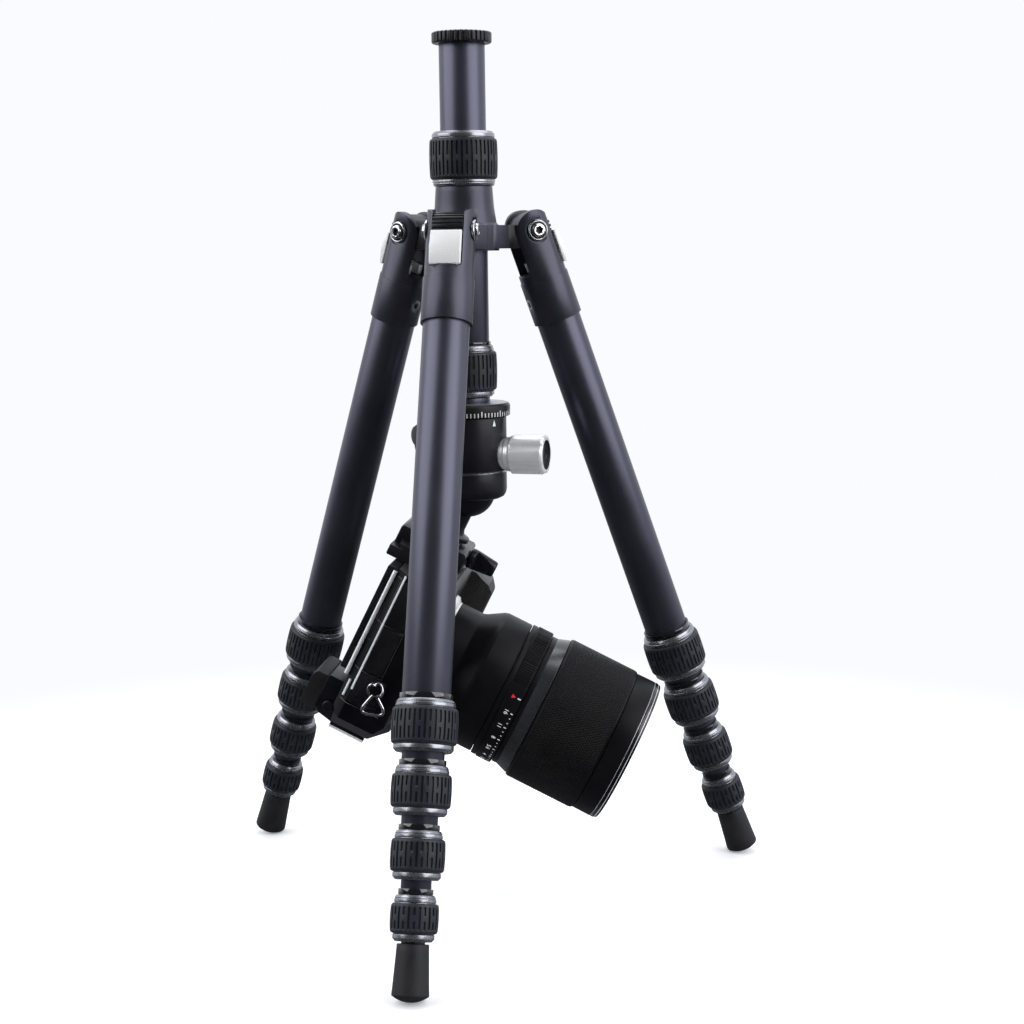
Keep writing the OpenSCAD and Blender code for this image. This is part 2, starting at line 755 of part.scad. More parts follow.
module rear_screen() color(black)
    hung()
        difference() {
            side_extrude(-32, 46)
                polygon([[-17.1, base_up + 1.5], [-17.1, 101], [-16.3, 101.8], [-12.6, 101.8],
                         [-12, 101.2], [-12, base_up + 0.6], [-16.2, base_up + 0.6]]);
            translate([-18, -28, base_up + 6]) cube([1.3, 70, 50]);
            // notch for the hinge knuckle, and the holes of its pin
            translate([-18, knuckle_y - gap, base_up]) cube([7, knuckle_w + 2 * gap, 3.9]);
            on_screen_hinge(-pin_reach - gap)
                cylinder(h = knuckle_w + 2 * (pin_reach + gap), r = 0.5 + 2 * fit);
        }

module port_door() color(rubber)
    hung()
        translate([-5.7, left_w - 2 * door_edge_r, 71.7])
            difference() {
                union() {
                    translate([door_edge_r, 0, 0]) cube([10.4 - door_edge_r, 2 * door_edge_r, 25]);
                    translate([door_edge_r, door_edge_r, 0]) cylinder(h = 25, r = door_edge_r);
                }
                translate([4, 0.9, 24]) cube([3, 1, 2]);
            }

module shutter_button() color(bright)
    hung()
        translate([24, -60, 0])
            turned([[0, 111.5], [4, 111.5], [4, 118.8], [5.2, 118.8], [5.2, 120.2],
                    [4.4, 120.8], [0, 120.4]]);

module mode_dial() color(black)
    hung()
        translate([3, -40, 0])
            difference() {
                turned([[0, shoulder_z - 2.6], [4, shoulder_z - 2.6], [4, shoulder_z + gap],
                        [8.6, shoulder_z + gap], [9.2, shoulder_z + 0.9],
                        [9.2, shoulder_z + 6.4], [8.6, shoulder_z + 7], [0, shoulder_z + 7]]);
                for (a = [0:15:345])
                    rotate([0, 0, a])
                        translate([9.2, 0, shoulder_z + 4])
                            rotate([0, 0, 45])
                                cube([0.7, 0.7, 5], center = true);
            }

module lens_barrel() color(black)
    hung() on_lens()
        turned([[25, 21.4], [30.6, mount_x], [30.6, 36], [31.6, 38], [36, 45], [36.7, 47],
                [36.7, 61], [33, 61], [33, 73.3], [36.2, 73.3], [36.2, 76], [38.4, 82.4],
                [33, 82.4], [33, 121.3], [38.6, 121.3], [38.8, 133], [38.2, lens_front],
                [36, lens_front], [36, 129], [31, 129], [31, 40], [25, 34]]);

module lens_glass() color([0.35, 0.45, 0.5])
    hung() on_lens() {
        // front element
        intersection() {
            translate([0, 0, 66]) sphere(r = 58, $fn = 240);
            translate([0, 0, 113.5]) cylinder(h = 12, r = 31);
        }
        // middle element
        intersection() {
            translate([0, 0, 26]) sphere(r = 60, $fn = 240);
            translate([0, 0, 76]) cylinder(h = 12, r = 31);
        }
        // rear element
        intersection() {
            translate([0, 0, 66.4]) sphere(r = 44, $fn = 240);
            translate([0, 0, 20]) cylinder(h = 12, r = 25);
        }
    }

module aperture_ring() color(black)
    hung() on_lens()
        difference() {
            turned([[33 + fit, 61.3], [37, 61.3], [37.2, 61.6], [37.2, 64.2], [37.6, 64.5],
                    [37.6, 72.4], [37.2, 73], [33 + fit, 73]]);
            for (a = [0:5:355])
                rotate([0, 0, a])
                    translate([37.6, 0, 68.5])
                        cube([0.5, 1, 7.4], center = true);
        }

module focus_ring() color(rubber)
    hung() on_lens()
        turned([[33 + fit, 82.7], [focus_d / 2 - 0.5, 82.7], [focus_d / 2, 83.2],
                [focus_d / 2, 120.5], [focus_d / 2 - 0.5, 121], [33 + fit, 121]]);

// Straight round wire from one point to another
module wire(p, q, r) {
    d = q - p;
    translate(p)
        rotate([0, acos(d[2] / norm(d)), atan2(d[1], d[0])])
            cylinder(h = norm(d), r = r, $fn = 24);
    translate(p) sphere(r = r, $fn = 24);
}

// Three-sided wire ring that hangs by its eye from a lug
module strap_ring(side) color(bright)
    hung()
        translate([lug[0], side > 0 ? left_w + 2.2 : -grip_w - 2.2, lug[1]])
            rotate([0, 180 + tilt, 0]) {
                rotate([90, 0, 0])
                    rotate_extrude()
                        translate([2.4, 0]) circle(r = 0.8, $fn = 24);
                corners = [[0, 0, -2.6], [-5.6, 0, -11], [5.6, 0, -11]];
                for (k = [0:2])
                    wire(corners[k], corners[(k + 1) % 3], 0.8);
            }

// ---------------------------------------------------------------- assembly

function leg_node(i, p) = str("leg_", i, "_", p);

for (i = [1:3]) {
    at_leg(i) leg_upper();
    at_leg(i) leg_section(2);
    at_leg(i) leg_section(3);
    at_leg(i) leg_section(4);
    at_leg(i) leg_section_5();
    at_leg(i) leg_lock(1);
    at_leg(i) leg_lock(2);
    at_leg(i) leg_lock(3);
    at_leg(i) leg_lock(4);
    at_leg(i) stop_tab();
}
spider();
hinge_bolts();
column_tube();
column_end_disc();
column_lock();
inner_column();
inner_column_lock();
pan_base();
head_body();
ball_seat();
ball_stem();
main_knob();
pan_knob();
clamp_body();
clamp_jaw();
clamp_knob();
release_plate();
camera_body();
camera_internals();
eyecup();
rear_screen();
port_door();
shutter_button();
mode_dial();
lens_barrel();
lens_glass();
aperture_ring();
focus_ring();
strap_ring(1);  // strap_ring_left
strap_ring(-1);  // strap_ring_right
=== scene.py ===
import json
import math

import bmesh
import bpy
from mathutils import Matrix, Vector


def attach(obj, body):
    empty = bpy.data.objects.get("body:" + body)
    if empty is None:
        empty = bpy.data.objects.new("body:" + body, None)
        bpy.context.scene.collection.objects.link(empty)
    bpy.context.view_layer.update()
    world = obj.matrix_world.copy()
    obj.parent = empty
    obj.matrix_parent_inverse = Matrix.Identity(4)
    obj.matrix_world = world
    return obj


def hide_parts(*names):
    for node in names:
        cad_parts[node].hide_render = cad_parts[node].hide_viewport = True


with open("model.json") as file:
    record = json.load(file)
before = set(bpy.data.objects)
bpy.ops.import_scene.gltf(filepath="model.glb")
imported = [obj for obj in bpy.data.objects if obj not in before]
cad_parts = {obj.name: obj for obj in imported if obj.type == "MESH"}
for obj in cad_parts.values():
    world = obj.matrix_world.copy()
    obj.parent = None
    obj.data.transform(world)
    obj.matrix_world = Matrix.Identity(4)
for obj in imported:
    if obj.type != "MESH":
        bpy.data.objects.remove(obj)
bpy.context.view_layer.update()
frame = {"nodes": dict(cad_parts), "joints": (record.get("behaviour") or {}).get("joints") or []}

MM = 0.001
TAU = 2 * math.pi
BORE_H = 86.4  # height of the lens axis in the hung frame, in mm
UP, DOWN = Vector((0, 0, 1)), Vector((0, 0, -1))
JOINTS = {j["name"]: j for j in frame["joints"]}
LEGS = (1, 2, 3)


# ------------------------------------------------------------------ local frames

def frame_from(origin, x, y, z):
    m = Matrix.Identity(4)
    for k, v in enumerate((x, y, z)):
        for r in range(3):
            m[r][k] = v[r]
    for r in range(3):
        m[r][3] = origin[r]
    return m


def leg_frame(i):
    """Hinge at the origin, the leg down -Z, its outer side along +X."""
    z = -Vector(JOINTS[f"leg_{i}_section_2_slide"]["axis"])
    x = Vector(JOINTS[f"leg_{i}_tab_pull"]["axis"])
    return frame_from(JOINTS[f"leg_{i}_fold"]["pos_m"], x, z.cross(x), z)


LEG = {i: leg_frame(i) for i in LEGS}
LENS_AXIS = Vector(JOINTS["aperture_turn"]["axis"])
CAM_LEFT = Vector(JOINTS["plate_slide"]["axis"])
CAM_UP = LENS_AXIS.cross(CAM_LEFT)
# +X along the lens, +Y to the camera's left, +Z the camera's up
HUNG = frame_from(JOINTS["ball_tilt"]["pos_m"], LENS_AXIS, CAM_LEFT, CAM_UP)
WORLD = Matrix.Identity(4)


def turned_to_x(z_mm):
    """Frame whose +Z lies along the lens axis and whose +X points to the camera's left."""
    local = frame_from((0, 0, z_mm * MM), Vector((0, 1, 0)), Vector((0, 0, 1)), Vector((1, 0, 0)))
    return HUNG @ local


LENS = turned_to_x(BORE_H)


def upright(z_mm):
    return Matrix.Translation((0, 0, z_mm * MM))


def polar(r, angle, z):
    """Point at a radius and angle round Z, in mm."""
    return Vector((r * math.cos(angle), r * math.sin(angle), z)) * MM


def add_object(name, data):
    obj = bpy.data.objects.new(name, data)
    bpy.context.scene.collection.objects.link(obj)
    return obj


# ------------------------------------------------------------------ materials

def map_range(tree, value, a, b, lo=0.0, hi=1.0, smooth=False):
    """Node that carries lo..hi of the value to a..b."""
    r = tree.nodes.new("ShaderNodeMapRange")
    if smooth:
        r.interpolation_type = "SMOOTHSTEP"
    r.inputs["From Min"].default_value, r.inputs["From Max"].default_value = lo, hi
    r.inputs["To Min"].default_value, r.inputs["To Max"].default_value = a, b
    tree.links.new(value, r.inputs["Value"])
    return r.outputs["Result"]


def shade(name, dark, light, rough=(0.35, 0.5), metal=0.0, grain=900.0, bump=0.05, depth=0.05,
          blotch=60.0, coat=0.0, coat_rough=0.1, specular=0.5, sparkle=0.0, edge=0.0, extra=None):
    """Procedural finish: two tones mixed by broad and fine noise, grainy bump and roughness."""
    mat = bpy.data.materials.new(name)
    mat.use_nodes = True
    nt = mat.node_tree
    nodes, links = nt.nodes, nt.links
    bsdf = nodes["Principled BSDF"]
    coord = nodes.new("ShaderNodeTexCoord").outputs["Object"]

    def noise(scale, detail=3.0, roughness=0.55):
        t = nodes.new("ShaderNodeTexNoise")
        t.inputs["Scale"].default_value = scale
        t.inputs["Detail"].default_value = detail
        t.inputs["Roughness"].default_value = roughness
        links.new(coord, t.inputs["Vector"])
        return t.outputs["Fac"]

    def ranged(value, a, b, lo, hi):
        return map_range(nt, value, a, b, lo, hi)

    def mix(fac, a, b):
        m = nodes.new("ShaderNodeMix")
        m.data_type = "RGBA"
        for value, socket in ((fac, m.inputs[0]), (a, m.inputs[6]), (b, m.inputs[7])):
            if isinstance(value, tuple):
                socket.default_value = (*value, 1.0)
            else:
                links.new(value, socket)
        return m.outputs[2]

    def math_node(op, *values):
        m = nodes.new("ShaderNodeMath")
        m.operation = op
        for value, socket in zip(values, m.inputs):
            if isinstance(value, (int, float)):
                socket.default_value = value
            else:
                links.new(value, socket)
        return m.outputs[0]

    broad, fine = noise(blotch), noise(grain, 2.0)
    tone = math_node("ADD", math_node("MULTIPLY", broad, 0.6), math_node("MULTIPLY", fine, 0.4))
    colour = mix(ranged(tone, 0.0, 1.0, 0.35, 0.65), dark, light)
    if sparkle:
        spot = ranged(noise(grain * 1.7, 1.0), 0.0, sparkle, 0.66, 0.76)
        colour = mix(spot, colour, (0.75, 0.75, 0.8))
    even = math_node("ADD", math_node("MULTIPLY", broad, 0.5), math_node("MULTIPLY", fine, 0.5))
    rough_out = ranged(even, rough[0], rough[1], 0.35, 0.65)
    bsdf.inputs["Metallic"].default_value = metal
    bsdf.inputs["Coat Weight"].default_value = coat
    bsdf.inputs["Coat Roughness"].default_value = coat_rough
    bsdf.inputs["Specular IOR Level"].default_value = specular
    tools = dict(nodes=nodes, links=links, coord=coord, ranged=ranged, mix=mix, math=math_node,
                 colour=colour, height=fine)
    if extra:
        tools.update(extra(tools))
    if edge:
        # painted highlight: the colour is lightened on the edges, where the rounded normal leaves the real
        # one
        bev = nodes.new("ShaderNodeBevel")
        bev.samples = 4
        bev.inputs["Radius"].default_value = 0.0004
        geo = nodes.new("ShaderNodeNewGeometry")
        dot = nodes.new("ShaderNodeVectorMath")
        dot.operation = "DOT_PRODUCT"
        links.new(bev.outputs["Normal"], dot.inputs[0])
        links.new(geo.outputs["Normal"], dot.inputs[1])
        painted_edge_highlight = ranged(dot.outputs["Value"], edge, 0.0, 0.85, 0.99)
        tools["colour"] = mix(painted_edge_highlight, tools["colour"], (0.5, 0.5, 0.53))
    links.new(tools["colour"], bsdf.inputs["Base Color"])
    links.new(rough_out, bsdf.inputs["Roughness"])
    b = nodes.new("ShaderNodeBump")
    b.inputs["Strength"].default_value = bump
    b.inputs["Distance"].default_value = depth * MM
    links.new(tools["height"], b.inputs["Height"])
    links.new(b.outputs["Normal"], bsdf.inputs["Normal"])
    return mat


def separate(t):
    s = t["nodes"].new("ShaderNodeSeparateXYZ")
    t["links"].new(t["coord"], s.inputs[0])
    return s.outputs[0], s.outputs[1], s.outputs[2]


def band(t, value, lo, hi):
    """1 where lo < value < hi."""
    return t["math"]("MULTIPLY", t["math"]("GREATER_THAN", value, lo), t["math"]("LESS_THAN", value, hi))


WHOLE = 1000.0


def knurl(t, rows_mm, count, z0, z1):
    """Staggered small blocks round the local Z axis, between two heights."""
    x, y, z = separate(t)
    m = t["math"]

    def dome(u):
        return m("MULTIPLY", m("SMOOTH_MIN", u, m("SUBTRACT", 1.0, u), 0.1), 4.0)

    turn = m("DIVIDE", m("ARCTAN2", y, x), TAU)
    row = m("DIVIDE", z, rows_mm * MM)
    shift = m("MULTIPLY", m("MODULO", m("FLOOR", row), 2.0), 0.5)
    # whole turns are added so that the fraction is taken of a positive number
    along = m("FRACT", m("ADD", m("ADD", m("MULTIPLY", turn, float(count)), shift), WHOLE))
    block = m("MINIMUM", m("MINIMUM", dome(along), dome(m("FRACT", row))), 1.0)
    inside = band(t, z, z0 * MM, z1 * MM)
    return m("ADD", m("MULTIPLY", block, inside), m("SUBTRACT", 1.0, inside))


def focus_extra(t):
    """Knurled rubber whose grooves are darkened with painted shade, inside the ring's two plain edges."""
    height = knurl(t, 1.05, 168, 84.0, 119.8)
    groove = t["ranged"](height, 0.35, 0.0, 0.0, 0.6)
    colour = t["mix"](groove, t["colour"], (0.002, 0.002, 0.002))
    return {"height": height, "colour": colour}


def grip_lines(t):
    """Fine level lines on the lower half of the tab."""
    _, y, z = separate(t)
    m = t["math"]
    wave = m("SINE", m("MULTIPLY", z, TAU / (1.3 * MM)))
    mask = m("MULTIPLY", band(t, z, -17.5 * MM, -13.5 * MM), band(t, y, -4.5 * MM, 4.5 * MM))
    return {"height": m("MULTIPLY", m("GREATER_THAN", wave, 0.2), mask)}


def pan_scale(t):
    """White ticks round the lower edge of the panning base, longer at every sixth."""
    x, y, z = separate(t)
    m = t["math"]

    def near_whole(value, reach):
        off = m("ABSOLUTE", m("SUBTRACT", m("FRACT", m("ADD", value, WHOLE + 0.5)), 0.5))
        return m("LESS_THAN", off, reach)

    turn = m("MULTIPLY", m("DIVIDE", m("ARCTAN2", y, x), TAU), 72.0)
    tick = near_whole(turn, 0.15)
    long = near_whole(m("DIVIDE", turn, 6.0), 0.03)
    low = band(t, z, 0.2 * MM, 2.5 * MM)
    high = m("MULTIPLY", band(t, z, 0.2 * MM, 3.3 * MM), long)
    radius = m("SQRT", m("ADD", m("MULTIPLY", x, x), m("MULTIPLY", y, y)))
    rim = m("GREATER_THAN", radius, 21.7 * MM)
    mark = m("MULTIPLY", m("MULTIPLY", tick, rim), m("MAXIMUM", low, high))
    return {"colour": t["mix"](mark, t["colour"], (0.85, 0.85, 0.85))}


def leather(t):
    """Pebbled covering: raised cells, with painted shade darkening the creases between them."""
    cells = t["nodes"].new("ShaderNodeTexVoronoi")
    cells.feature = "DISTANCE_TO_EDGE"
    cells.inputs["Scale"].default_value = 750.0
    t["links"].new(t["coord"], cells.inputs["Vector"])
    crease = t["ranged"](cells.outputs["Distance"], 0.0, 1.0, 0.0, 0.22)
    colour = t["mix"](t["ranged"](crease, 0.6, 0.0, 0.0, 0.6), t["colour"], (0.003, 0.003, 0.003))
    return {"height": crease, "colour": colour}


def fine_lines(period_mm):
    """Turned tooling lines along the local Z axis."""
    def extra(t):
        m = t["math"]
        wave = m("SINE", m("MULTIPLY", separate(t)[2], TAU / (period_mm * MM)))
        return {"height": m("ADD", m("MULTIPLY", wave, 0.35), t["height"])}
    return extra


def panel_window(t):
    """Display window: a faint wide panel inside a black frame."""
    _, y, z = separate(t)
    panel = t["math"]("MULTIPLY", band(t, y, -27 * MM, 41 * MM), band(t, z, 50 * MM, 97 * MM))
    return {"colour": t["mix"](panel, t["colour"], (0.004, 0.0045, 0.007))}


M = {
    "tube": shade("tube_anodised", (0.070, 0.072, 0.100), (0.088, 0.090, 0.122), (0.32, 0.42), 0.80,
                  grain=2600, bump=0.10, depth=0.05, blotch=25, sparkle=0.06, specular=0.45),
    "bracket": shade("bracket_paint", (0.050, 0.051, 0.070), (0.066, 0.067, 0.090), (0.32, 0.44), 0.70,
                     grain=2200, bump=0.14, depth=0.06, blotch=40, sparkle=0.08, edge=0.10),
    # lighter grey metal: on the bevels of black parts a painted highlight along the edges; also the colour
    # of the thin seam lines
    "edge": shade("edge_highlight_and_seam_metal", (0.12, 0.12, 0.135), (0.20, 0.20, 0.22), (0.25, 0.38), 0.9,
                  grain=1500, bump=0.05),
    "ferrule": shade("ferrule_gloss", (0.006, 0.006, 0.008), (0.014, 0.014, 0.018), (0.08, 0.16), 0.2,
                     coat=0.9, coat_rough=0.04, grain=1200, bump=0.02, extra=fine_lines(0.9)),
    "ring": shade("lock_ring_metal", (0.29, 0.30, 0.335), (0.33, 0.34, 0.375), (0.24, 0.29), 0.9,
                  grain=1800, bump=0.01, blotch=20),
    "rubber": shade("lock_sleeve_rubber", (0.009, 0.010, 0.017), (0.017, 0.019, 0.030), (0.42, 0.58),
                    grain=1500, bump=0.22, depth=0.10, blotch=120, specular=0.42),
    "foot": shade("foot_rubber", (0.007, 0.007, 0.009), (0.016, 0.016, 0.020), (0.50, 0.70),
                  grain=1100, bump=0.30, depth=0.12, blotch=90, specular=0.4),
    "knuckle": shade("knuckle_black", (0.006, 0.006, 0.008), (0.016, 0.016, 0.020), (0.28, 0.42), 0.4,
                     grain=1500, bump=0.08, edge=0.15),
    "chrome": shade("polished_plating", (0.50, 0.50, 0.53), (0.66, 0.66, 0.69), (0.06, 0.14), 0.95,
                    grain=700, bump=0.03, blotch=180),
    "tab": shade("tab_plating", (0.90, 0.90, 0.92), (0.96, 0.96, 0.97), (0.30, 0.36), 0.1,
                 grain=900, bump=0.30, depth=0.12, blotch=60, extra=grip_lines),
    "silver": shade("silver_anodised", (0.82, 0.83, 0.85), (0.92, 0.93, 0.95), (0.26, 0.38), 0.45,
                    grain=2400, bump=0.12, depth=0.05, blotch=60),
    "satin_black": shade("head_anodised", (0.010, 0.010, 0.015), (0.019, 0.019, 0.027), (0.30, 0.42),
                         0.55, grain=2400, bump=0.10, depth=0.05, edge=0.25),
    "pan_rim": shade("pan_base_marked", (0.008, 0.008, 0.010), (0.018, 0.018, 0.022), (0.28, 0.40),
                     0.5, grain=2000, bump=0.06, extra=pan_scale),
    "pan_top": shade("pan_base_face", (0.30, 0.30, 0.33), (0.42, 0.42, 0.45), (0.26, 0.36), 0.9,
                     grain=1800, bump=0.05, extra=fine_lines(0.3)),
    "plate": shade("plate_anodised", (0.018, 0.018, 0.022), (0.032, 0.032, 0.038), (0.32, 0.44), 0.6,
                   grain=2000, bump=0.10, edge=0.35),
    "cork": shade("plate_rubber_face", (0.012, 0.012, 0.013), (0.022, 0.022, 0.023), (0.6, 0.75),
                  grain=900, bump=0.3, depth=0.12),
    "shell": shade("camera_crinkle_paint", (0.014, 0.014, 0.017), (0.027, 0.027, 0.031), (0.34, 0.50),
                   0.25, grain=2600, bump=0.20, depth=0.06, blotch=50, edge=0.10),
    "leather": shade("camera_grip_covering", (0.007, 0.007, 0.008), (0.014, 0.014, 0.015), (0.5, 0.66),
                     grain=1800, bump=0.45, depth=0.22, extra=leather),
    "gloss": shade("gloss_black_door", (0.004, 0.004, 0.005), (0.010, 0.010, 0.012), (0.10, 0.20),
                   grain=1200, bump=0.03, coat=0.5, coat_rough=0.05),
    "screen_frame": shade("screen_frame_black", (0.006, 0.006, 0.007), (0.012, 0.012, 0.014),
                          (0.22, 0.34), grain=1500, bump=0.06),
    "display": shade("display_window", (0.002, 0.002, 0.003), (0.004, 0.004, 0.005), (0.03, 0.07),
                     grain=400, bump=0.005, coat=1.0, coat_rough=0.02, extra=panel_window),
    # bright metal for the shoe rails and thin lens lines; laid along the camera's rounded side edges it is
    # a painted highlight
    "bright_line": shade("bright_metal_and_painted_highlight", (0.78, 0.79, 0.82), (0.92, 0.93, 0.96), (0.24, 0.34), 0.3,
                         grain=1500, bump=0.02),
    # painted shade: a darker, duller copy of the camera's paint for the faces turned to its left side and
    # the strap lugs
    "side_black": shade("darkened_side_paint", (0.002, 0.002, 0.003), (0.005, 0.005, 0.006), (0.34, 0.46),
                        grain=1400, bump=0.03, specular=0.05),
    # painted light: a lighter copy of the camera's paint for the top plate and the finder hump
    "top_paint": shade("lightened_top_paint", (0.018, 0.018, 0.024), (0.030, 0.030, 0.040), (0.40, 0.55),
                       0.2, grain=2600, bump=0.15, depth=0.06, blotch=50, edge=0.12),
    "soft_rubber": shade("soft_rubber", (0.009, 0.009, 0.010), (0.018, 0.018, 0.020), (0.5, 0.68),
                         grain=1500, bump=0.20, depth=0.08, specular=0.35),
    "lens": shade("lens_anodised", (0.004, 0.004, 0.005), (0.008, 0.008, 0.010), (0.34, 0.44), 0.2,
                  grain=3000, bump=0.10, depth=0.04, blotch=35, specular=0.14),
    "lens_gloss": shade("lens_front_gloss", (0.004, 0.004, 0.005), (0.009, 0.009, 0.011),
                        (0.14, 0.24), 0.3, grain=1500, bump=0.02, coat=0.4, coat_rough=0.08),
    "lens_bevel": shade("lens_bevel_ring", (0.060, 0.062, 0.068), (0.085, 0.087, 0.095), (0.20, 0.28),
                        0.75, grain=2000, bump=0.01),
    "focus": shade("focus_rubber", (0.004, 0.004, 0.005), (0.009, 0.009, 0.010), (0.40, 0.55),
                   grain=1800, bump=0.9, depth=0.30, specular=0.14, extra=focus_extra),
    "baffle": shade("lens_inner_black", (0.003, 0.003, 0.003), (0.006, 0.006, 0.006), (0.6, 0.8),
                    grain=900, bump=0.3, depth=0.1, extra=fine_lines(0.8)),
    "white": shade("white_marks", (0.80, 0.80, 0.78), (0.90, 0.90, 0.88), (0.4, 0.55),
                   grain=1500, bump=0.02),
    "red": shade("red_mark", (0.55, 0.02, 0.03), (0.68, 0.04, 0.05), (0.35, 0.5), grain=1500, bump=0.02),
    "socket": shade("dark_socket", (0.010, 0.010, 0.011), (0.022, 0.022, 0.024), (0.35, 0.5), 0.6,
                    grain=1500, bump=0.05),
    "seat": shade("seat_plastic", (0.58, 0.58, 0.56), (0.70, 0.70, 0.68), (0.45, 0.6), grain=900,
                  bump=0.08),
    "board": shade("circuit_board", (0.006, 0.016, 0.012), (0.010, 0.026, 0.019), (0.35, 0.5), grain=700,
                   bump=0.2, depth=0.1),
}


def glass_material():
    """Clear glass with a faint coating, whose tint and roughness vary a little."""
    mat = bpy.data.materials.new("coated_glass")
    mat.use_nodes = True
    nodes, links = mat.node_tree.nodes, mat.node_tree.links
    bsdf = nodes["Principled BSDF"]
    bsdf.inputs["Transmission Weight"].default_value = 1.0
    bsdf.inputs["IOR"].default_value = 1.6
    bsdf.inputs["Coat Weight"].default_value = 0.6
    bsdf.inputs["Coat Tint"].default_value = (0.62, 0.86, 0.80, 1)
    coord = nodes.new("ShaderNodeTexCoord").outputs["Object"]
    tex = nodes.new("ShaderNodeTexNoise")
    tex.inputs["Scale"].default_value = 60
    links.new(coord, tex.inputs["Vector"])
    links.new(map_range(mat.node_tree, tex.outputs["Fac"], 0.01, 0.05), bsdf.inputs["Roughness"])
    ramp = nodes.new("ShaderNodeValToRGB")
    ramp.color_ramp.elements[0].color = (0.72, 0.86, 0.88, 1)
    ramp.color_ramp.elements[1].color = (0.86, 0.80, 0.94, 1)
    links.new(tex.outputs["Fac"], ramp.inputs["Fac"])
    links.new(ramp.outputs["Color"], bsdf.inputs["Base Color"])
    return mat


M["glass"] = glass_material()


# ------------------------------------------------------------------ mesh helpers

def finish_mesh(bm, name, mats, matrix, body, sharp=32.0, replaced=(), slot=None):
    mesh = bpy.data.meshes.new(name)
    bmesh.ops.recalc_face_normals(bm, faces=bm.faces)
    bm.to_mesh(mesh)
    bm.free()
    return place(mesh, name, mats, matrix, body, sharp, replaced, slot)


def place(mesh, name, mats, matrix, body, sharp=32.0, replaced=(), slot=None):
    if not mesh.materials:
        for m in mats:
            mesh.materials.append(M[m])
        mesh.polygons.foreach_set("use_smooth", [True] * len(mesh.polygons))
        mesh.set_sharp_from_angle(angle=math.radians(sharp))
    obj = add_object(name, mesh)
    obj.matrix_world = matrix
    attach(obj, body)
    if replaced:
        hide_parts(*replaced)
    return obj


def corner(before, at, after, r, n, steepest):
    """Points of a rounded corner, or only the corner itself where it is too flat to round."""
    pa, pb, pc = Vector(before[:2]), Vector(at[:2]), Vector(after[:2])
    u, v = pa - pb, pc - pb
    lu, lv = u.length, v.length
    if r <= 0 or lu < 1e-6 or lv < 1e-6:
        return [pb]
    u, v = u / lu, v / lv
    half = math.acos(max(-1, min(1, u.dot(v)))) / 2
    if half > math.radians(steepest):
        return [pb]
    d = min(r / math.tan(half), lu * 0.48, lv * 0.48)
    p0, p1 = pb + u * d, pb + v * d
    steps = (k / n for k in range(n + 1))
    return [p0 * (1 - t) ** 2 + pb * 2 * t * (1 - t) + p1 * t ** 2 for t in steps]


def rounded(points, radius=0.4, n=3):
    """Rounds the inner corners of (r, z, material) points; a fourth number is a corner's own radius."""
    out = [points[0]]
    for a, b, c in zip(points, points[1:], points[2:]):
        bend = corner(a, b, c, b[3] if len(b) > 3 else radius, n, 84)
        out += [(q.x, q.y, b[2]) for q in bend] if len(bend) > 1 else [b[:3]]
    out.append(points[-1])
    return [p[:3] for p in out]


def round_loop(points, radius=1.0, n=4):
    """Closed outline with its corners rounded; a third number on a point is its own radius."""
    out = []
    for k, b in enumerate(points):
        after = points[(k + 1) % len(points)]
        bend = corner(points[k - 1], b, after, b[2] if len(b) > 2 else radius, n, 86)
        out += [(q.x, q.y) for q in bend]
    return out


def revolve(points, seg=96, shape=None, close=True):
    """Turns (r, z, material) points about Z. A face takes the material of the point it starts at."""
    bm = bmesh.new()
    rings = []
    for k, (r, z, _) in enumerate(points):
        if r < 1e-4:
            rings.append([bm.verts.new((0, 0, z * MM))] * seg)
            continue
        ring = []
        for i in range(seg):
            a = TAU * i / seg
            q = shape(a, r, z, k) if shape else r
            ring.append(bm.verts.new((q * math.cos(a) * MM, q * math.sin(a) * MM, z * MM)))
        rings.append(ring)
    order = list(zip(rings, rings[1:], points))
    if close:
        order.append((rings[-1], rings[0], points[-1]))
    for lower, upper, p in order:
        for i in range(seg):
            j = (i + 1) % seg
            quad = []
            for v in (lower[i], lower[j], upper[j], upper[i]):
                if v not in quad:
                    quad.append(v)
            if len(quad) > 2:
                bm.faces.new(quad).material_index = p[2]
    return bm


def turned(points, radius, seg, shape=None, close=True):
    """Revolved outline whose corners are rounded."""
    return revolve(rounded(points, radius), seg, shape, close)


def rod(r, z0, z1, seg):
    """Plain pin along Z."""
    return revolve([(0, z0, 0), (r, z0, 0), (r, z1, 0), (0, z1, 0)], seg, close=False)


def prism(outline, lo, hi, plane="xz"):
    """Extrudes a closed outline in mm. xz goes along Y, xy along Z, yz along X."""
    bm = bmesh.new()

    def ring(h):
        at = {"xz": lambda a, b: (a, h, b), "xy": lambda a, b: (a, b, h), "yz": lambda a, b: (h, a, b)}
        return [bm.verts.new(Vector(at[plane](a, b)) * MM) for a, b in outline]

    bottom, top = ring(lo), ring(hi)
    bm.faces.new(bottom)
    bm.faces.new(top)
    n = len(outline)
    for i in range(n):
        j = (i + 1) % n
        bm.faces.new((bottom[i], bottom[j], top[j], top[i]))
    bmesh.ops.recalc_face_normals(bm, faces=bm.faces)
    return bm


def block(x0, x1, y0, y1, z0, z1):
    return prism([(x0, z0), (x1, z0), (x1, z1), (x0, z1)], y0, y1)


def bevelled(bm, width, seg=3, angle=25.0, material=-1):
    """Rounds every edge that is sharper than the angle."""
    edges = [e for e in bm.edges if len(e.link_faces) == 2
             and e.calc_face_angle(0) > math.radians(angle)]
    bmesh.ops.bevel(bm, geom=edges, offset=width * MM, segments=seg, profile=0.5, affect="EDGES",
                    clamp_overlap=True, material=material)
    return bm


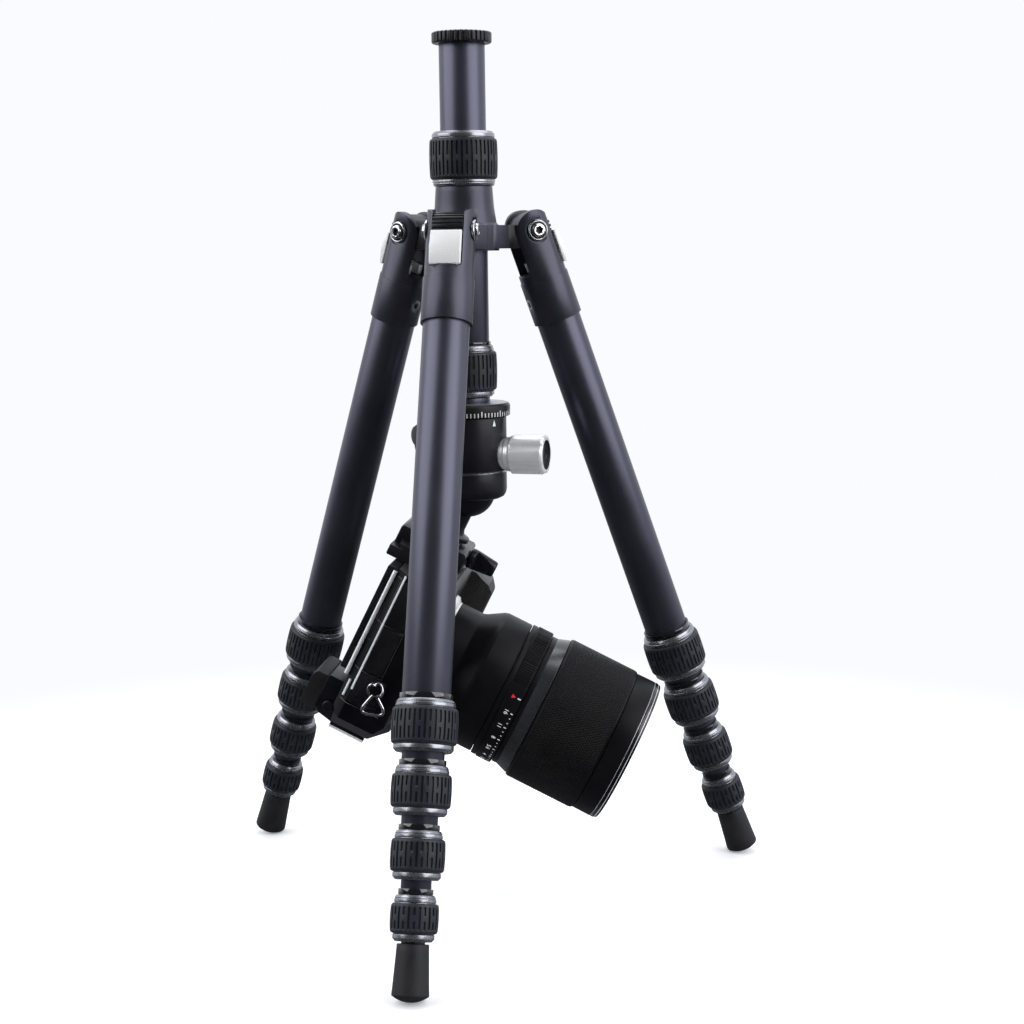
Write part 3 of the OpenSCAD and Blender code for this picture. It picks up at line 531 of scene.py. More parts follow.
def refined(node, matrix, mats, slot, pick=None, width=0.3, seg=2, edge_mat=-1, body=None):
    """Copy of a CAD node with its sharp edges rounded and its faces given their own finishes."""
    src = frame["nodes"][node].data
    bm = bmesh.new()
    bm.from_mesh(src)
    bm.transform(matrix.inverted())
    bmesh.ops.remove_doubles(bm, verts=bm.verts, dist=2e-6)
    bmesh.ops.dissolve_limit(bm, angle_limit=math.radians(0.3), verts=bm.verts, edges=bm.edges)
    for f in bm.faces:
        f.material_index = 0
    bevelled(bm, width, seg, 28, edge_mat)
    if pick:
        for f in bm.faces:
            if edge_mat >= 0 and f.material_index == edge_mat:
                continue
            f.material_index = pick(f.calc_center_median() / MM)
    return finish_mesh(bm, f"{node}_finished", mats, matrix, body or node, 32, (node,), slot)


def tube_curve(lines, radius, matrix, name, mat, body, cyclic=False, replaced=(), slot=None, res=3):
    """Round wire along one or more polylines in mm, turned into a mesh."""
    curve = bpy.data.curves.new(name, "CURVE")
    curve.dimensions = "3D"
    curve.bevel_depth = radius * MM
    curve.bevel_resolution = res
    curve.use_fill_caps = True
    for points in lines:
        spline = curve.splines.new("POLY")
        spline.points.add(len(points) - 1)
        for p, co in zip(spline.points, points):
            p.co = (*(Vector(co) * MM), 1)
        spline.use_cyclic_u = cyclic
    return place(as_mesh(curve), name, (mat,), matrix, body, 50, replaced, slot)


def as_mesh(curve):
    """Mesh made from a curve or text, which are then removed."""
    obj = add_object("outline", curve)
    bpy.context.view_layer.update()
    mesh = bpy.data.meshes.new_from_object(obj)
    bpy.data.objects.remove(obj)
    bpy.data.curves.remove(curve)
    mesh.materials.clear()
    return mesh


def boolean(first, second, operation):
    """Combines two bmeshes and returns the result as a new one."""
    objs = []
    for bm in (first, second):
        bmesh.ops.recalc_face_normals(bm, faces=bm.faces)
        mesh = bpy.data.meshes.new("operand")
        bm.to_mesh(mesh)
        bm.free()
        objs.append(add_object("operand", mesh))
    mod = objs[0].modifiers.new("cut", "BOOLEAN")
    mod.operation, mod.object, mod.solver = operation, objs[1], "EXACT"
    bpy.context.view_layer.update()
    done = objs[0].evaluated_get(bpy.context.evaluated_depsgraph_get())
    out = bmesh.new()
    out.from_mesh(done.to_mesh())
    done.to_mesh_clear()
    for obj in objs:
        mesh = obj.data
        bpy.data.objects.remove(obj)
        bpy.data.meshes.remove(mesh)
    bmesh.ops.remove_doubles(out, verts=out.verts, dist=2e-6)
    bmesh.ops.dissolve_limit(out, angle_limit=math.radians(0.4), verts=out.verts, edges=out.edges)
    return out


def facing(x, y, z, direction):
    """Frame at a hung point, in mm, whose +Z points along a hung direction."""
    d = Vector(direction).normalized()
    side = Vector((0, 0, 1)) if abs(d.z) < 0.9 else Vector((1, 0, 0))
    a = side.cross(d).normalized()
    return HUNG @ frame_from(Vector((x, y, z)) * MM, a, d.cross(a), d)


def wire(points, radius, name, mat="edge", cyclic=False):
    """Seam line on the camera, or a bright line laid along an edge as a painted highlight."""
    return tube_curve([points], radius, HUNG, name, mat, "camera", cyclic)


def merge(*parts):
    """Joins (bmesh, material index) pairs into one; with None, faces keep the index they have."""
    out = bmesh.new()
    for bm, index in parts:
        if index is not None:
            for f in bm.faces:
                f.material_index = index
        mesh = bpy.data.meshes.new("part")
        bm.to_mesh(mesh)
        bm.free()
        out.from_mesh(mesh)
        bpy.data.meshes.remove(mesh)
    return out


def moved(bm, matrix):
    bm.transform(matrix)
    return bm


def crossed(side, y0, y1, other, lo, hi, plane="yz"):
    """Solid with one outline seen from the side and another seen from above or in front."""
    return boolean(prism(side, y0, y1), prism(other, lo, hi, plane), "INTERSECT")


def on_camera(bm, name, mats, sharp=30, slot="camera_shell", matrix=HUNG, replaced=()):
    return finish_mesh(bm, name, mats, matrix, "camera", sharp, replaced, slot)


# ------------------------------------------------------------------ twist locks

def lock_mesh(out, h, ring_h, screw_r, hole_r, lip, grooves, ring=None):
    """Collar from z = 0 (bottom) to h: metal rings and a grooved rubber sleeve between them."""
    ring = ring or out - 1.55
    z0, z1 = ring_h, h - ring_h
    pts = [(hole_r, 0, 0), (ring - 1.2, 0, 0), (ring, 1.3, 0), (ring, ring_h - 0.5, 0),
           (ring - 0.35, ring_h - 0.15, 0, 0), (ring - 0.3, ring_h, 1, 0)]
    pts = rounded(pts, 0.25)
    sleeve = []
    rows, edge = 30, 1.6
    for k in range(rows + 1):
        t = k / rows
        z = z0 + (z1 - z0) * t
        e = min(z - z0, z1 - z) / edge
        drop = 0.0 if e >= 1 else 1 - math.sqrt(max(0.0, 1 - (1 - e) ** 2))
        belly = 0.35 * (1 - (2 * t - 1) ** 2)
        sleeve.append((out - 0.35 - drop + belly, z, 1))
    pts += sleeve
    pts += rounded([(ring - 0.3, h - ring_h, 0), (ring - 0.35, h - ring_h + 0.15, 0, 0),
                    (ring, h - ring_h + 0.4, 0), (ring, h - 1.9, 0), (ring - 0.35, h - 1.7, 0),
                    (ring - 0.35, h - 1.35, 0), (ring - 0.15, h - 1.2, 0), (ring - 0.9, h, 0),
                    (screw_r, h, 0)], 0.2)
    pts += [(screw_r, lip, 2), (hole_r, lip, 2)]
    seg = grooves * 8
    start, end, mid = z0 + 1.9, z1 - 1.9, (z0 + z1) / 2

    def shape(a, r, z, k):
        if not first <= k < first + len(sleeve):
            return r
        u = a / TAU * grooves
        near = abs(u - round(u))
        if near > 0.13:
            return r
        inside = min(z - start, end - z)
        depth = max(0.0, min(1.0, inside / 0.5 + 0.5))
        if int(round(u)) % 2:
            depth *= max(0.0, min(1.0, (abs(z - mid) - 1.3) / 0.4))
        return r - 0.75 * depth

    first = next(k for k, p in enumerate(pts) if p is sleeve[0])
    bm = revolve(pts, seg, shape)
    mesh = bpy.data.meshes.new("lock")
    bmesh.ops.recalc_face_normals(bm, faces=bm.faces)
    bm.to_mesh(mesh)
    bm.free()
    return mesh


LOCK_TOP = (227.5, 258.0, 287.5, 316.5)
LOCK_BOTTOM = (254.5, 283.5, 312.5, 340.0)
LOCK_ABOVE = 2.8  # the lip of the ferrule over a lock and the gap under it
LOCK_RING, LOCK_FLOOR = 3.6, 5.0
LOCK_GROOVES = (40, 36, 32, 28)
TUBE_R = (11.5, 10.0, 8.5, 7.0, 5.5)
INSET = 1.1  # the tube's axis lies this far inward of the hinge
for k in range(4):
    h = LOCK_BOTTOM[k] - LOCK_TOP[k] - LOCK_ABOVE
    mesh = lock_mesh(TUBE_R[k] + 4.15, h, LOCK_RING, TUBE_R[k] + 0.95, TUBE_R[k + 1] + 0.3,
                     LOCK_FLOOR, LOCK_GROOVES[k])
    mesh.name = f"lock_{k + 1}_collar"
    for i in LEGS:
        at = LEG[i] @ Matrix.Translation(Vector((-INSET, 0, -LOCK_BOTTOM[k])) * MM)
        turn = Matrix.Rotation(0.21 * i + 0.37 * k, 4, "Z")
        place(mesh, f"leg_{i}_lock_{k + 1}_collar", ("ring", "rubber", "socket"), at @ turn,
              f"leg_{i}_lock_{k + 1}", 40, (f"leg_{i}_lock_{k + 1}",), "lock_rubber")

for node, z, out, h, ring_h, screw, hole, lip, ring, n in (
        ("column_lock", 368.4, 17.3, 27.2, 3.4, 13.05, 11.9, 21.5, 15.9, 44),
        ("inner_column_lock", 262.0, 15.5, 26.3, 3.2, 12.4, 10.4, 5.6, 13.9, 38)):
    mesh = lock_mesh(out, h, ring_h, screw, hole, lip, n, ring)
    if node == "column_lock":
        # its screw side is below, so the collar is turned over
        mesh.transform(Matrix.Translation((0, 0, h * MM)) @ Matrix.Scale(-1, 4, (0, 0, 1)))
        mesh.flip_normals()
    mesh.name = f"{node}_collar"
    place(mesh, f"{node}_collar", ("ring", "rubber", "socket"), upright(z), node, 40, (node,),
          "lock_rubber")


# ------------------------------------------------------------------ legs

# distances down the leg from its hinge: grub screw, end of the bracket, foot and its tip
GRUB_S, BRACKET_S, FOOT_S, FOOT_TIP_S = 36, 47.4, 340.9, 362


def leg_upper_faces(c):
    s, r = -c.z, math.hypot(c.x + INSET, c.y)
    if abs(s - GRUB_S) < 3.4 and abs(c.y) < 3.4 and c.x < -12.9:
        return 3
    if s > 200 and r > TUBE_R[0] + 0.02:
        return 2
    return 1 if s > BRACKET_S else 0


def leg_section_faces(k):
    def pick(c):
        s, r = -c.z, math.hypot(c.x + INSET, c.y)
        if k < 5 and s > LOCK_TOP[k - 1] - 20 and r > TUBE_R[k - 1] + 0.02:
            return 1
        if k == 5 and (s > FOOT_TIP_S or (s > FOOT_S and r > TUBE_R[4] + 0.02)):
            return 2
        return 0
    return pick


for i in LEGS:
    refined(f"leg_{i}_upper", LEG[i], ("bracket", "tube", "ferrule", "ring"), "anodised_aluminium",
            leg_upper_faces, 0.35)
    for k in (2, 3, 4, 5):
        refined(f"leg_{i}_section_{k}", LEG[i], ("tube", "ferrule", "foot"), "anodised_aluminium",
                leg_section_faces(k))
    refined(f"leg_{i}_stop_tab", LEG[i], ("tab",), "bright_steel", None, 0.35, 3)


# ------------------------------------------------------------------ spider, bolts and column

HINGE = [Vector(JOINTS[f"leg_{i}_fold"]["pos_m"]) / MM for i in LEGS]


def spider_faces(c):
    near = any((c.xy - h.xy).length < 12.5 and abs(c.z - h.z) < 10 for h in HINGE)
    return 1 if near and c.xy.length > 29 else 0


refined("spider", WORLD, ("bracket", "knuckle"), "anodised_aluminium", spider_faces, 0.35)


def bolt_head(z, up):
    """Dished button head with a hexagon socket; z is its seat and up is 1 or -1."""
    # the hexagon socket and the ring groove take the dark socket material, painted shade in these recesses
    pts = [(0, 0, 0), (5.4, 0, 0), (5.4, 0.9, 0), (4.7, 1.4, 0), (4.4, 1.2, 1), (3.8, 1.2, 1),
           (3.7, 1.6, 0), (3.3, 2.5, 0), (2.6, 2.7, 0), (2.0, 2.7, 0), (1.9, 2.5, 0), (1.75, 0.9, 1),
           (0, 0.9, 1)]

    def hexed(a, r, zz, k):
        if r < 2.1 and zz < 2.72:
            return r * math.cos(math.pi / 6) / math.cos((a % (TAU / 6)) - math.pi / 6) * 1.05
        return r
    bm = turned(pts, 0.25, 48, hexed, close=False)
    flip = Matrix.Rotation(math.pi if up < 0 else 0, 4, "X")
    return moved(bm, Matrix.Translation((0, 0, z * MM)) @ flip)


bolts = []
for i in LEGS:
    across = LEG[i] @ Matrix.Rotation(-math.pi / 2, 4, "X")
    for up in (1, -1):
        bolts.append((moved(bolt_head(11.3 * up, up), across), None))
    bolts.append((moved(rod(4, -11.6, 11.6, 40), across), None))
finish_mesh(merge(*bolts), "hinge_bolt_set", ("chrome", "socket"), WORLD, "spider", 28,
            ("hinge_bolts",), "bright_steel")


def column_faces(c):
    return 1 if c.z < 292 and math.hypot(c.x, c.y) > 11.62 else 0


def end_disc_faces(c):
    return 1 if c.z > 444.2 and math.hypot(c.x, c.y) > 12.5 else 0


refined("column_tube", WORLD, ("tube", "ferrule"), "anodised_aluminium", column_faces, 0.25, body="column")
refined("column_end_disc", WORLD, ("knuckle", "ring"), "anodised_aluminium", end_disc_faces, 0.25,
        body="column")
refined("inner_column", WORLD, ("tube",), "anodised_aluminium", None, 0.25)


# ------------------------------------------------------------------ ball head

PAN_Z = 252.2
pan = turned([(5, 0, 0), (21.5, 0, 0), (21.9, 0.4, 0), (21.9, 5.4, 0), (20.7, 6.7, 1), (12.2, 6.8, 1),
              (12.0, 6.2, 0), (11.4, 6.2, 0), (11.2, 7.0, 1), (5, 7.0, 1)], 0.2, 128)
finish_mesh(merge((pan, None), (rod(6, -12.2, 0.6, 48), 0)), "pan_base_disc", ("pan_rim", "pan_top"),
            upright(PAN_Z), "inner_column", 32, ("pan_base",), "black_aluminium")


def head_faces(c):
    return 1 if abs(c.z - 223.65) < 0.42 and 18.8 < math.hypot(c.x, c.y) < 19.6 else 0


refined("head_body", WORLD, ("satin_black", "ring"), "black_aluminium", head_faces, body="head")
refined("ball_seat", WORLD, ("seat",), "seat_plastic", None, 0.2, 1)
refined("ball_stem", HUNG, ("satin_black",), "black_aluminium", None, 0.25)

# white arrow under the scale, on the housing's wall
ARROW_AZ, ARROW_R = math.radians(-37), 19.95


def triangle(r, angle, half, z0, z1):
    """Flat pointer on a round wall: its half width is an angle and its tip is at z1."""
    bm = bmesh.new()
    corners = ((angle - half, z0), (angle + half, z0), (angle, z1))
    bm.faces.new([bm.verts.new(polar(r, a, z)) for a, z in corners])
    return bm


arrow = triangle(ARROW_R, ARROW_AZ, 0.05, 247.6, 251.1)
finish_mesh(arrow, "pan_index_arrow", ("white",), WORLD, "head", 32, (), "black_aluminium")

MAIN_AXIS = Vector(JOINTS["main_knob_turn"]["axis"])
PAN_AXIS = Vector(JOINTS["pan_knob_turn"]["axis"])
MAIN_KNOB = frame_from((0, 0, 232.5 * MM), UP.cross(MAIN_AXIS) * -1, UP, MAIN_AXIS)
PAN_KNOB = frame_from((0, 0, 243.5 * MM), DOWN, PAN_AXIS.cross(DOWN), PAN_AXIS)
FLUTE_Z = 23.6


def fluted(a, r, z, k):
    """Six broad finger flutes round the rim of the main knob."""
    if r < 9.2 or z < FLUTE_Z:
        return r
    u = (a / TAU * 6) % 1.0
    depth = max(0.0, math.cos((u - 0.5) * TAU)) ** 1.4
    ease = min(1.0, (z - FLUTE_Z) / 1.2)
    return r - 1.15 * depth * ease


knob = turned([(0, 8, 0), (4, 8, 0), (4, 18, 0), (8, 18, 0), (8, 20.4, 0), (8.8, 21, 0), (9.1, 23.2, 0),
               (9.5, 23.7, 0), (10.25, 24.4, 0), (10.25, 25.4, 0), (10.25, 28, 0), (10.25, 34, 0),
               (10.25, 38, 0), (10.25, 40.6, 0), (9.6, 41.7, 0), (7.8, 41.95, 0), (7.5, 41.8, 1),
               (7.4, 41.2, 1), (3, 41.2, 1), (2.8, 40.9, 1), (0, 40.9, 1)], 0.3, 96, fluted, close=False)
finish_mesh(knob, "main_knob_turned", ("silver", "satin_black"), MAIN_KNOB, "main_knob", 32,
            ("main_knob",), "silver_aluminium")
# its bevels take the lighter edge metal, a painted highlight
refined("pan_knob", PAN_KNOB, ("satin_black", "edge"), "black_plastic", None, 0.45, 3, 1)

# ------------------------------------------------------------------ clamp and plate

# their bevels take the lighter edge metal, a painted highlight
for node, body, width, slot in (("clamp_body", "clamp", 0.4, "black_aluminium"),
                                ("clamp_jaw", "clamp_jaw", 0.4, "black_aluminium"),
                                ("clamp_knob", "clamp_knob", 0.3, "black_plastic")):
    refined(node, HUNG, ("satin_black", "edge"), slot, None, width, 2, 1, body)


def plate_faces(c):
    return 1 if c.z > 42.9 else 0


# its bevels take the lighter edge metal, a painted highlight
refined("release_plate", HUNG, ("plate", "cork", "edge"), "anodised_aluminium", plate_faces, 0.35, 2, 2,
        "camera")

# ------------------------------------------------------------------ camera

for node, mat in (("camera_internals", "board"), ("lens_glass", "glass")):
    slots = frame["nodes"][node].data.materials
    slots.clear()
    slots.append(M[mat])

# main shell: the side outline and the plan outline meet in one rounded solid
side_outline = round_loop([(-11.5, 43, 1.2), (16.0, 43, 1.5), (18.5, 46.5, 1.5), (18.5, 117, 2.5),
                           (13, 124.5, 2.0), (-9, 124.5, 1.5), (-11.5, 121, 1.0)])
plan_outline = round_loop([(-11.5, -73, 1.5), (-8, -76, 1.5), (12, -76, 4), (18.5, -69, 3),
                           (18.5, 52, 6.5), (-6.3, 52, 0.9), (-11.5, 46, 0.9)], n=6)
shell = bevelled(crossed(side_outline, -77, 53, plan_outline, 42, 126, "xy"), 0.9, 3, 40)
shell = boolean(shell, block(-6, 5, 49.4, 53, 71.4, 97), "DIFFERENCE")
# faces turned to the camera's left below the top seam take the darker copy of the paint, a painted shade;
# faces above it take the lighter copy, a painted light
for f in shell.faces:
    c = f.calc_center_median() / MM
    side = f.normal.y > (0.25 if c.x < 0 else 0.55) and c.z < 115.4 and c.x < 17
    f.material_index = 1 if side else 2 if c.z > 117 else 0
on_camera(shell, "camera_shell", ("shell", "side_black", "top_paint"), replaced=("camera_body",))
knuckle = moved(rod(1, 0, 14, 32),
                Matrix.Translation(Vector((-15.8, 0, 44.9)) * MM) @ Matrix.Rotation(-math.pi / 2, 4, "X"))
on_camera(merge((knuckle, 0), (bevelled(block(-15.8, -11.2, 0, 14, 44.4, 45.4), 0.15, 2), 0)),
          "screen_hinge_knuckle", ("shell",))

grip_side = round_loop([(12, 46.6, 0.8), (21, 46.6, 2), (29.5, 50.2, 3), (33.5, 54.5, 3), (33.5, 98, 8),
                        (30, 112, 6), (19, 118.6, 3), (12, 118.6, 0.8)], n=5)
grip_plan = round_loop([(12, -75.9, 0.8), (24, -75.9, 7), (33.5, -67, 7), (33.5, -48, 6),
                        (26, -43, 5), (12, -43, 0.8)], n=6)
grip = bevelled(crossed(grip_side, -77, -42, grip_plan, 44, 120, "xy"), 1.3, 4, 35)
for f in grip.faces:
    c = f.calc_center_median() / MM
    f.material_index = 1 if 51 < c.z < 109.5 else 0
on_camera(grip, "camera_grip", ("shell", "leather"), 34)


def skin(name, outline, x0, x1, plane="yz", mat="leather", width=0.25):
    """Thin covering or panel laid on a face."""
    return on_camera(bevelled(prism(round_loop(outline, 2.0), x0, x1, plane), width, 2, 40), name, (mat,))


skin("front_covering", [(-42.5, 48.5), (43.5, 48.5), (43.5, 117), (33, 117), (33, 70, 4), (22, 53, 4),
                        (-22, 53, 4), (-33, 70, 4), (-33, 117), (-42.5, 117)], 18.3, 18.75)
skin("rear_covering", [(-74.5, 82), (-63, 82), (-61, 100, 3), (-63, 119), (-74.5, 119)], -11.9, -11.4)

FINDER_TOP = 141
hump_side = round_loop([(-11.6, 116, 0), (-11.6, FINDER_TOP, 1.5), (9.6, FINDER_TOP, 2.5),
                        (19.4, 127.5, 1.5), (18.2, 116, 0)])
hump_front = round_loop([(-29, 114, 0), (-29, 124, 3), (-12.5, FINDER_TOP, 3), (12.5, FINDER_TOP, 3),
                         (29, 124, 3), (29, 114, 0)])
# the hump takes the lighter copy of the paint, a painted light
on_camera(bevelled(crossed(hump_side, -30, 30, hump_front, -24, 24), 0.8, 3, 40), "finder_hump",
          ("top_paint",))
eye_side = round_loop([(-22, 116.5, 1), (-22, 136, 1), (-19.5, 139, 1), (-11, FINDER_TOP, 0),
                       (-11, 116.5, 0)])
eye_front = round_loop([(-18.9, 112, 0), (-18.9, 128, 2), (-12.5, 142, 2), (12.5, 142, 2),
                        (18.9, 128, 2), (18.9, 112, 0)])
eye = bevelled(crossed(eye_side, -20, 20, eye_front, -24, 0), 0.6, 3, 40)
OPENING = [(-11, 121), (11, 121), (11, 135), (-11, 135)]
eye = boolean(eye, prism(round_loop(OPENING, 2), -40, -16, "yz"), "DIFFERENCE")
on_camera(eye, "eyepiece_housing", ("satin_black",))
pane = bevelled(prism(round_loop([(-10.8, 121.2), (10.8, 121.2), (10.8, 134.8), (-10.8, 134.8)], 2),
                      -17.2, -16.1, "yz"), 0.3, 2, 40)
on_camera(pane, "eyepiece_pane", ("display",), 30, "screen_glass")

cup_side = round_loop([(-22.1, 117.6, 1), (-28.6, 117.6, 3.2), (-30.2, 121, 2.5), (-30.2, 134, 3.5),
                       (-28, 137.6, 3.2), (-22.1, 138.5, 1)], n=6)
cup_front = round_loop([(-18.4, 115), (18.4, 115), (18.4, 140), (-18.4, 140)], 4.5, n=6)
cup = bevelled(crossed(cup_side, -18.5, 18.5, cup_front, -32, -20), 1.2, 4, 40)
cup = boolean(cup, prism(round_loop(OPENING, 3, n=6), -40, -16, "yz"), "DIFFERENCE")
on_camera(bevelled(cup, 0.4, 2, 60), "eyecup_moulded", ("soft_rubber",), 32, "soft_rubber",
          replaced=("eyecup",))

# accessory shoe: floor, two side walls and their turned-in rails
shoe = [(-10.5, 10.5, FINDER_TOP, 141.8, 1)]
for sign in (-1, 1):
    shoe.append((*sorted((sign * 8.9, sign * 10.5)), FINDER_TOP, 144.0, 1))
    shoe.append((*sorted((sign * 6.1, sign * 10.55)), 143.1, 144.6, 0))
on_camera(merge(*((bevelled(block(-11.5, 8.4, *box), 0.2, 2), mat) for *box, mat in shoe)),
          "accessory_shoe_rails", ("bright_line", "socket"), 30, "bright_steel")

# left side: bright lines laid along the rounded edges as painted highlights, seams, second door and
# sockets
wire([(-12.6, 46.5, 45), (-12.6, 46.5, 103.5)], 1.1, "painted_highlight_rear_edge", "bright_line")
wire([(-6.3, 52.0, 43.8), (-6.3, 52.0, 108)], 0.5, "painted_highlight_side_edge", "bright_line")
wire([(-9.0, 49.3, 104.5), (-9.0, 49.3, 113.5)], 0.7, "painted_highlight_shoulder_edge", "bright_line")
for k, z in enumerate((71.1, 97.3)):
    wire([(-10.2, 47.6, z), (-6.4, 52.05, z), (5.3, 52.05, z)], 0.1, f"door_seam_{k}")
wire([(5.3, 52.05, 46), (5.3, 52.05, 97.3)], 0.1, "door_seam_front")
wire([(-10.7, 47.0, 46.5), (-7.6, 50.6, 46.5), (-7.6, 50.6, 82), (-10.7, 47.0, 82)], 0.09, "cover_seam",
     cyclic=True)
wire([(-11.4, 45.9, 115.6), (-6.3, 52.03, 115.6), (12.0, 52.03, 115.6), (16.5, 50.2, 115.6),
      (18.5, 45.5, 115.6)], 0.12, "top_plate_seam")
skin("lower_door", [(-5.8, 46.4), (4.9, 46.4), (4.9, 70.7), (-5.8, 70.7)], 51.9, 52.15, "xz", "gloss",
     0.12)
skin("lug_panel", [(-5.8, 97.8), (9.5, 97.8), (9.5, 115), (-5.8, 115)], 51.9, 52.1, "xz", "gloss", 0.1)
skin("recess_floor", [(-5.9, 71.5), (4.9, 71.5), (4.9, 96.9), (-5.9, 96.9)], 49.3, 49.45, "xz",
     "socket", 0.05)
wide = prism(round_loop([(-3.5, 85), (2.5, 85), (2.5, 93), (-3.5, 93)], 1.2), 49.4, 50.3)
on_camera(bevelled(wide, 0.2, 2), "side_socket_wide", ("ring",), 30, "bright_steel")
on_camera(turned([(0.9, 0, 1), (2.4, 0, 0), (2.4, 0.9, 0), (1.8, 0.9, 1), (1.7, 0.2, 1), (0.9, 0.2, 1)],
                 0.12, 40),
          "side_socket_round", ("ring", "socket"), 30, "bright_steel", facing(-0.5, 49.4, 78, (0, 1, 0)))

# strap lugs, with a bow of two small loops and a three-sided ring hanging from each
LUG_X, LUG_Z = 4.9, 102.4
for side, y, sign in (("left", 52.0, 1), ("right", -76.0, -1)):
    post = turned([(0, -1, 0), (3.3, -1, 0), (3.3, 0.9, 0), (1.5, 1.1, 0), (1.5, 3.5, 0), (2.4, 3.7, 0),
                   (2.4, 4.3, 0), (0, 4.4, 0)], 0.3, 40, close=False)
    # the lugs take the darker side copy of the paint, a painted shade
    on_camera(post, f"strap_lug_{side}", ("side_black",), 30, "bright_steel",
              facing(LUG_X, y, LUG_Z, (0, sign, 0)))
    centre = HUNG @ (Vector((LUG_X, y + 2.6 * sign, LUG_Z)) * MM)
    ring_frame = frame_from(centre, CAM_LEFT.cross(UP), CAM_LEFT, UP)
    tri = round_loop([(0.2, -1.2, 1.8), (9.4, -11.6, 3.2), (-5.6, -13.4, 3.2)], n=8)
    loops = [[(x, 0, z) for x, z in tri]]
    for turn in (-1, 1):
        loops.append([(turn * (1.7 + 1.9 * math.cos(t)), 0.9 * turn * math.sin(t),
                       0.1 + 3.0 * math.sin(t) - 0.5 * math.cos(t))
                      for t in (TAU * q / 28 for q in range(28))])
    tube_curve(loops, 0.78, ring_frame, f"strap_ring_{side}_wire", "chrome", f"strap_ring_{side}",
               True, (f"strap_ring_{side}",), "bright_steel", 5)


def button(name, x, y, z, direction, radius, height, ring=None, mat="satin_black"):
    """Round button; a ring round it is given by its outer radius."""
    parts = [(turned([(0, -0.5, 0), (radius, -0.5, 0), (radius, height - 0.3, 0),
                      (radius - 0.5, height, 0), (0, height + 0.1, 0)], 0.3, 48, close=False), 0)]
    if ring:
        parts.append((turned([(radius + 0.25, -0.4, 1), (ring, -0.4, 1), (ring, 0.25, 1),
                              (radius + 0.25, 0.35, 1)], 0.15, 48), 1))
    return on_camera(merge(*parts), name, (mat, "shell"), 32, "black_plastic",
                     facing(x, y, z, direction))


def notched(count, depth, above, z0, z1):
    """Shape whose wall outside a radius has a square notch at every step, between two heights."""
    def shape(a, r, z, k):
        cut = r > above and z0 < z < z1 and (a / TAU * count) % 1 > 0.5
        return r - (depth if cut else 0)
    return shape


REAR, FRONT = (-1, 0, 0), (1, 0, 0)
REAR_X, BASE_Z = -11.5, 42.97
WHEEL_Y, WHEEL_Z = -53, 76
for k, (y, z, r, h) in enumerate(((-43, 108, 2.7, 0.9), (-54, 112, 2.9, 0.9), (-40, 118, 2.4, 0.7),
                                  (-44, 56, 2.7, 0.8), (-60, 56, 2.7, 0.8), (-66, 66, 2.4, 0.7))):
    button(f"rear_button_{k}", REAR_X, y, z, REAR, r, h, r + 1.1)
button("rear_wheel_hub", REAR_X, WHEEL_Y, WHEEL_Z, REAR, 3.6, 1.5)
wheel = turned([(4.1, -0.3, 0), (9.4, -0.3, 0), (9.4, 0.9, 0), (8.6, 1.6, 0), (4.5, 1.1, 0)], 0.3, 120,
               notched(60, 0.25, 9, -1, 2))
on_camera(wheel, "rear_wheel", ("satin_black",), 30, "black_aluminium",
          facing(REAR_X, WHEEL_Y, WHEEL_Z, REAR))
stick = turned([(0, -0.4, 0), (3.4, -0.4, 0), (3.4, 0.4, 0), (1.9, 0.8, 0), (1.9, 2.2, 0), (2.3, 2.8, 0),
                (1.7, 3.3, 0), (0, 3.2, 0)], 0.3, 48, close=False)
on_camera(stick, "rear_stick", ("soft_rubber",), 32, "soft_rubber", facing(REAR_X, -42, 97, REAR))
for row in (("lens_release", 18.5, -38.5, 78, FRONT, 4.2, 1.6, 5.4),
            ("front_lamp", 18.5, -38, 112, FRONT, 1.8, 0.4, 2.6, "display"),
            ("finder_adjuster", -15.5, 18.9, 132, (0, 1, 0), 3.0, 1.4),
            ("power_collar", 24, -60, 117.9, UP, 7.4, 0.7, 8.2),
            ("top_button_a", 14.5, -46, 118.5, UP, 2.4, 0.9, 3.3),
            ("top_button_b", -3, -24, 124.5, UP, 2.4, 0.7, 3.3)):
    button(*row)
dial = turned([(0, -1, 0), (7.6, -1, 0), (7.6, 4.6, 0), (7.0, 5.2, 0), (0, 5.2, 0)], 0.4, 144,
              notched(48, 0.3, 7.4, 0, 4.6), close=False)
on_camera(dial, "exposure_dial", ("satin_black",), 30, "black_aluminium", facing(-1, -62, 124.5, UP))
wire([(x, y, BASE_Z) for x, y in round_loop([(-8, -72), (25, -72), (25, -50), (-8, -50)], 3)], 0.12,
     "battery_door_seam", cyclic=True)
# raised base pad round the tripod socket
skin("base_pad", [(-9.5, -14), (14.5, -14), (14.5, 14), (-9.5, 14)], 42.75, 43.05, "xy", "soft_rubber",
     0.1)
# bright ring that the lens is mounted on
on_camera(turned([(31.4, 18.0, 0), (33.4, 18.0, 0), (32.8, 20.6, 0), (31.0, 21.6, 0), (26, 21.6, 0),
                  (26, 18.0, 0)], 0.3, 120), "lens_mount_ring", ("silver",), 30, "bright_steel", LENS)

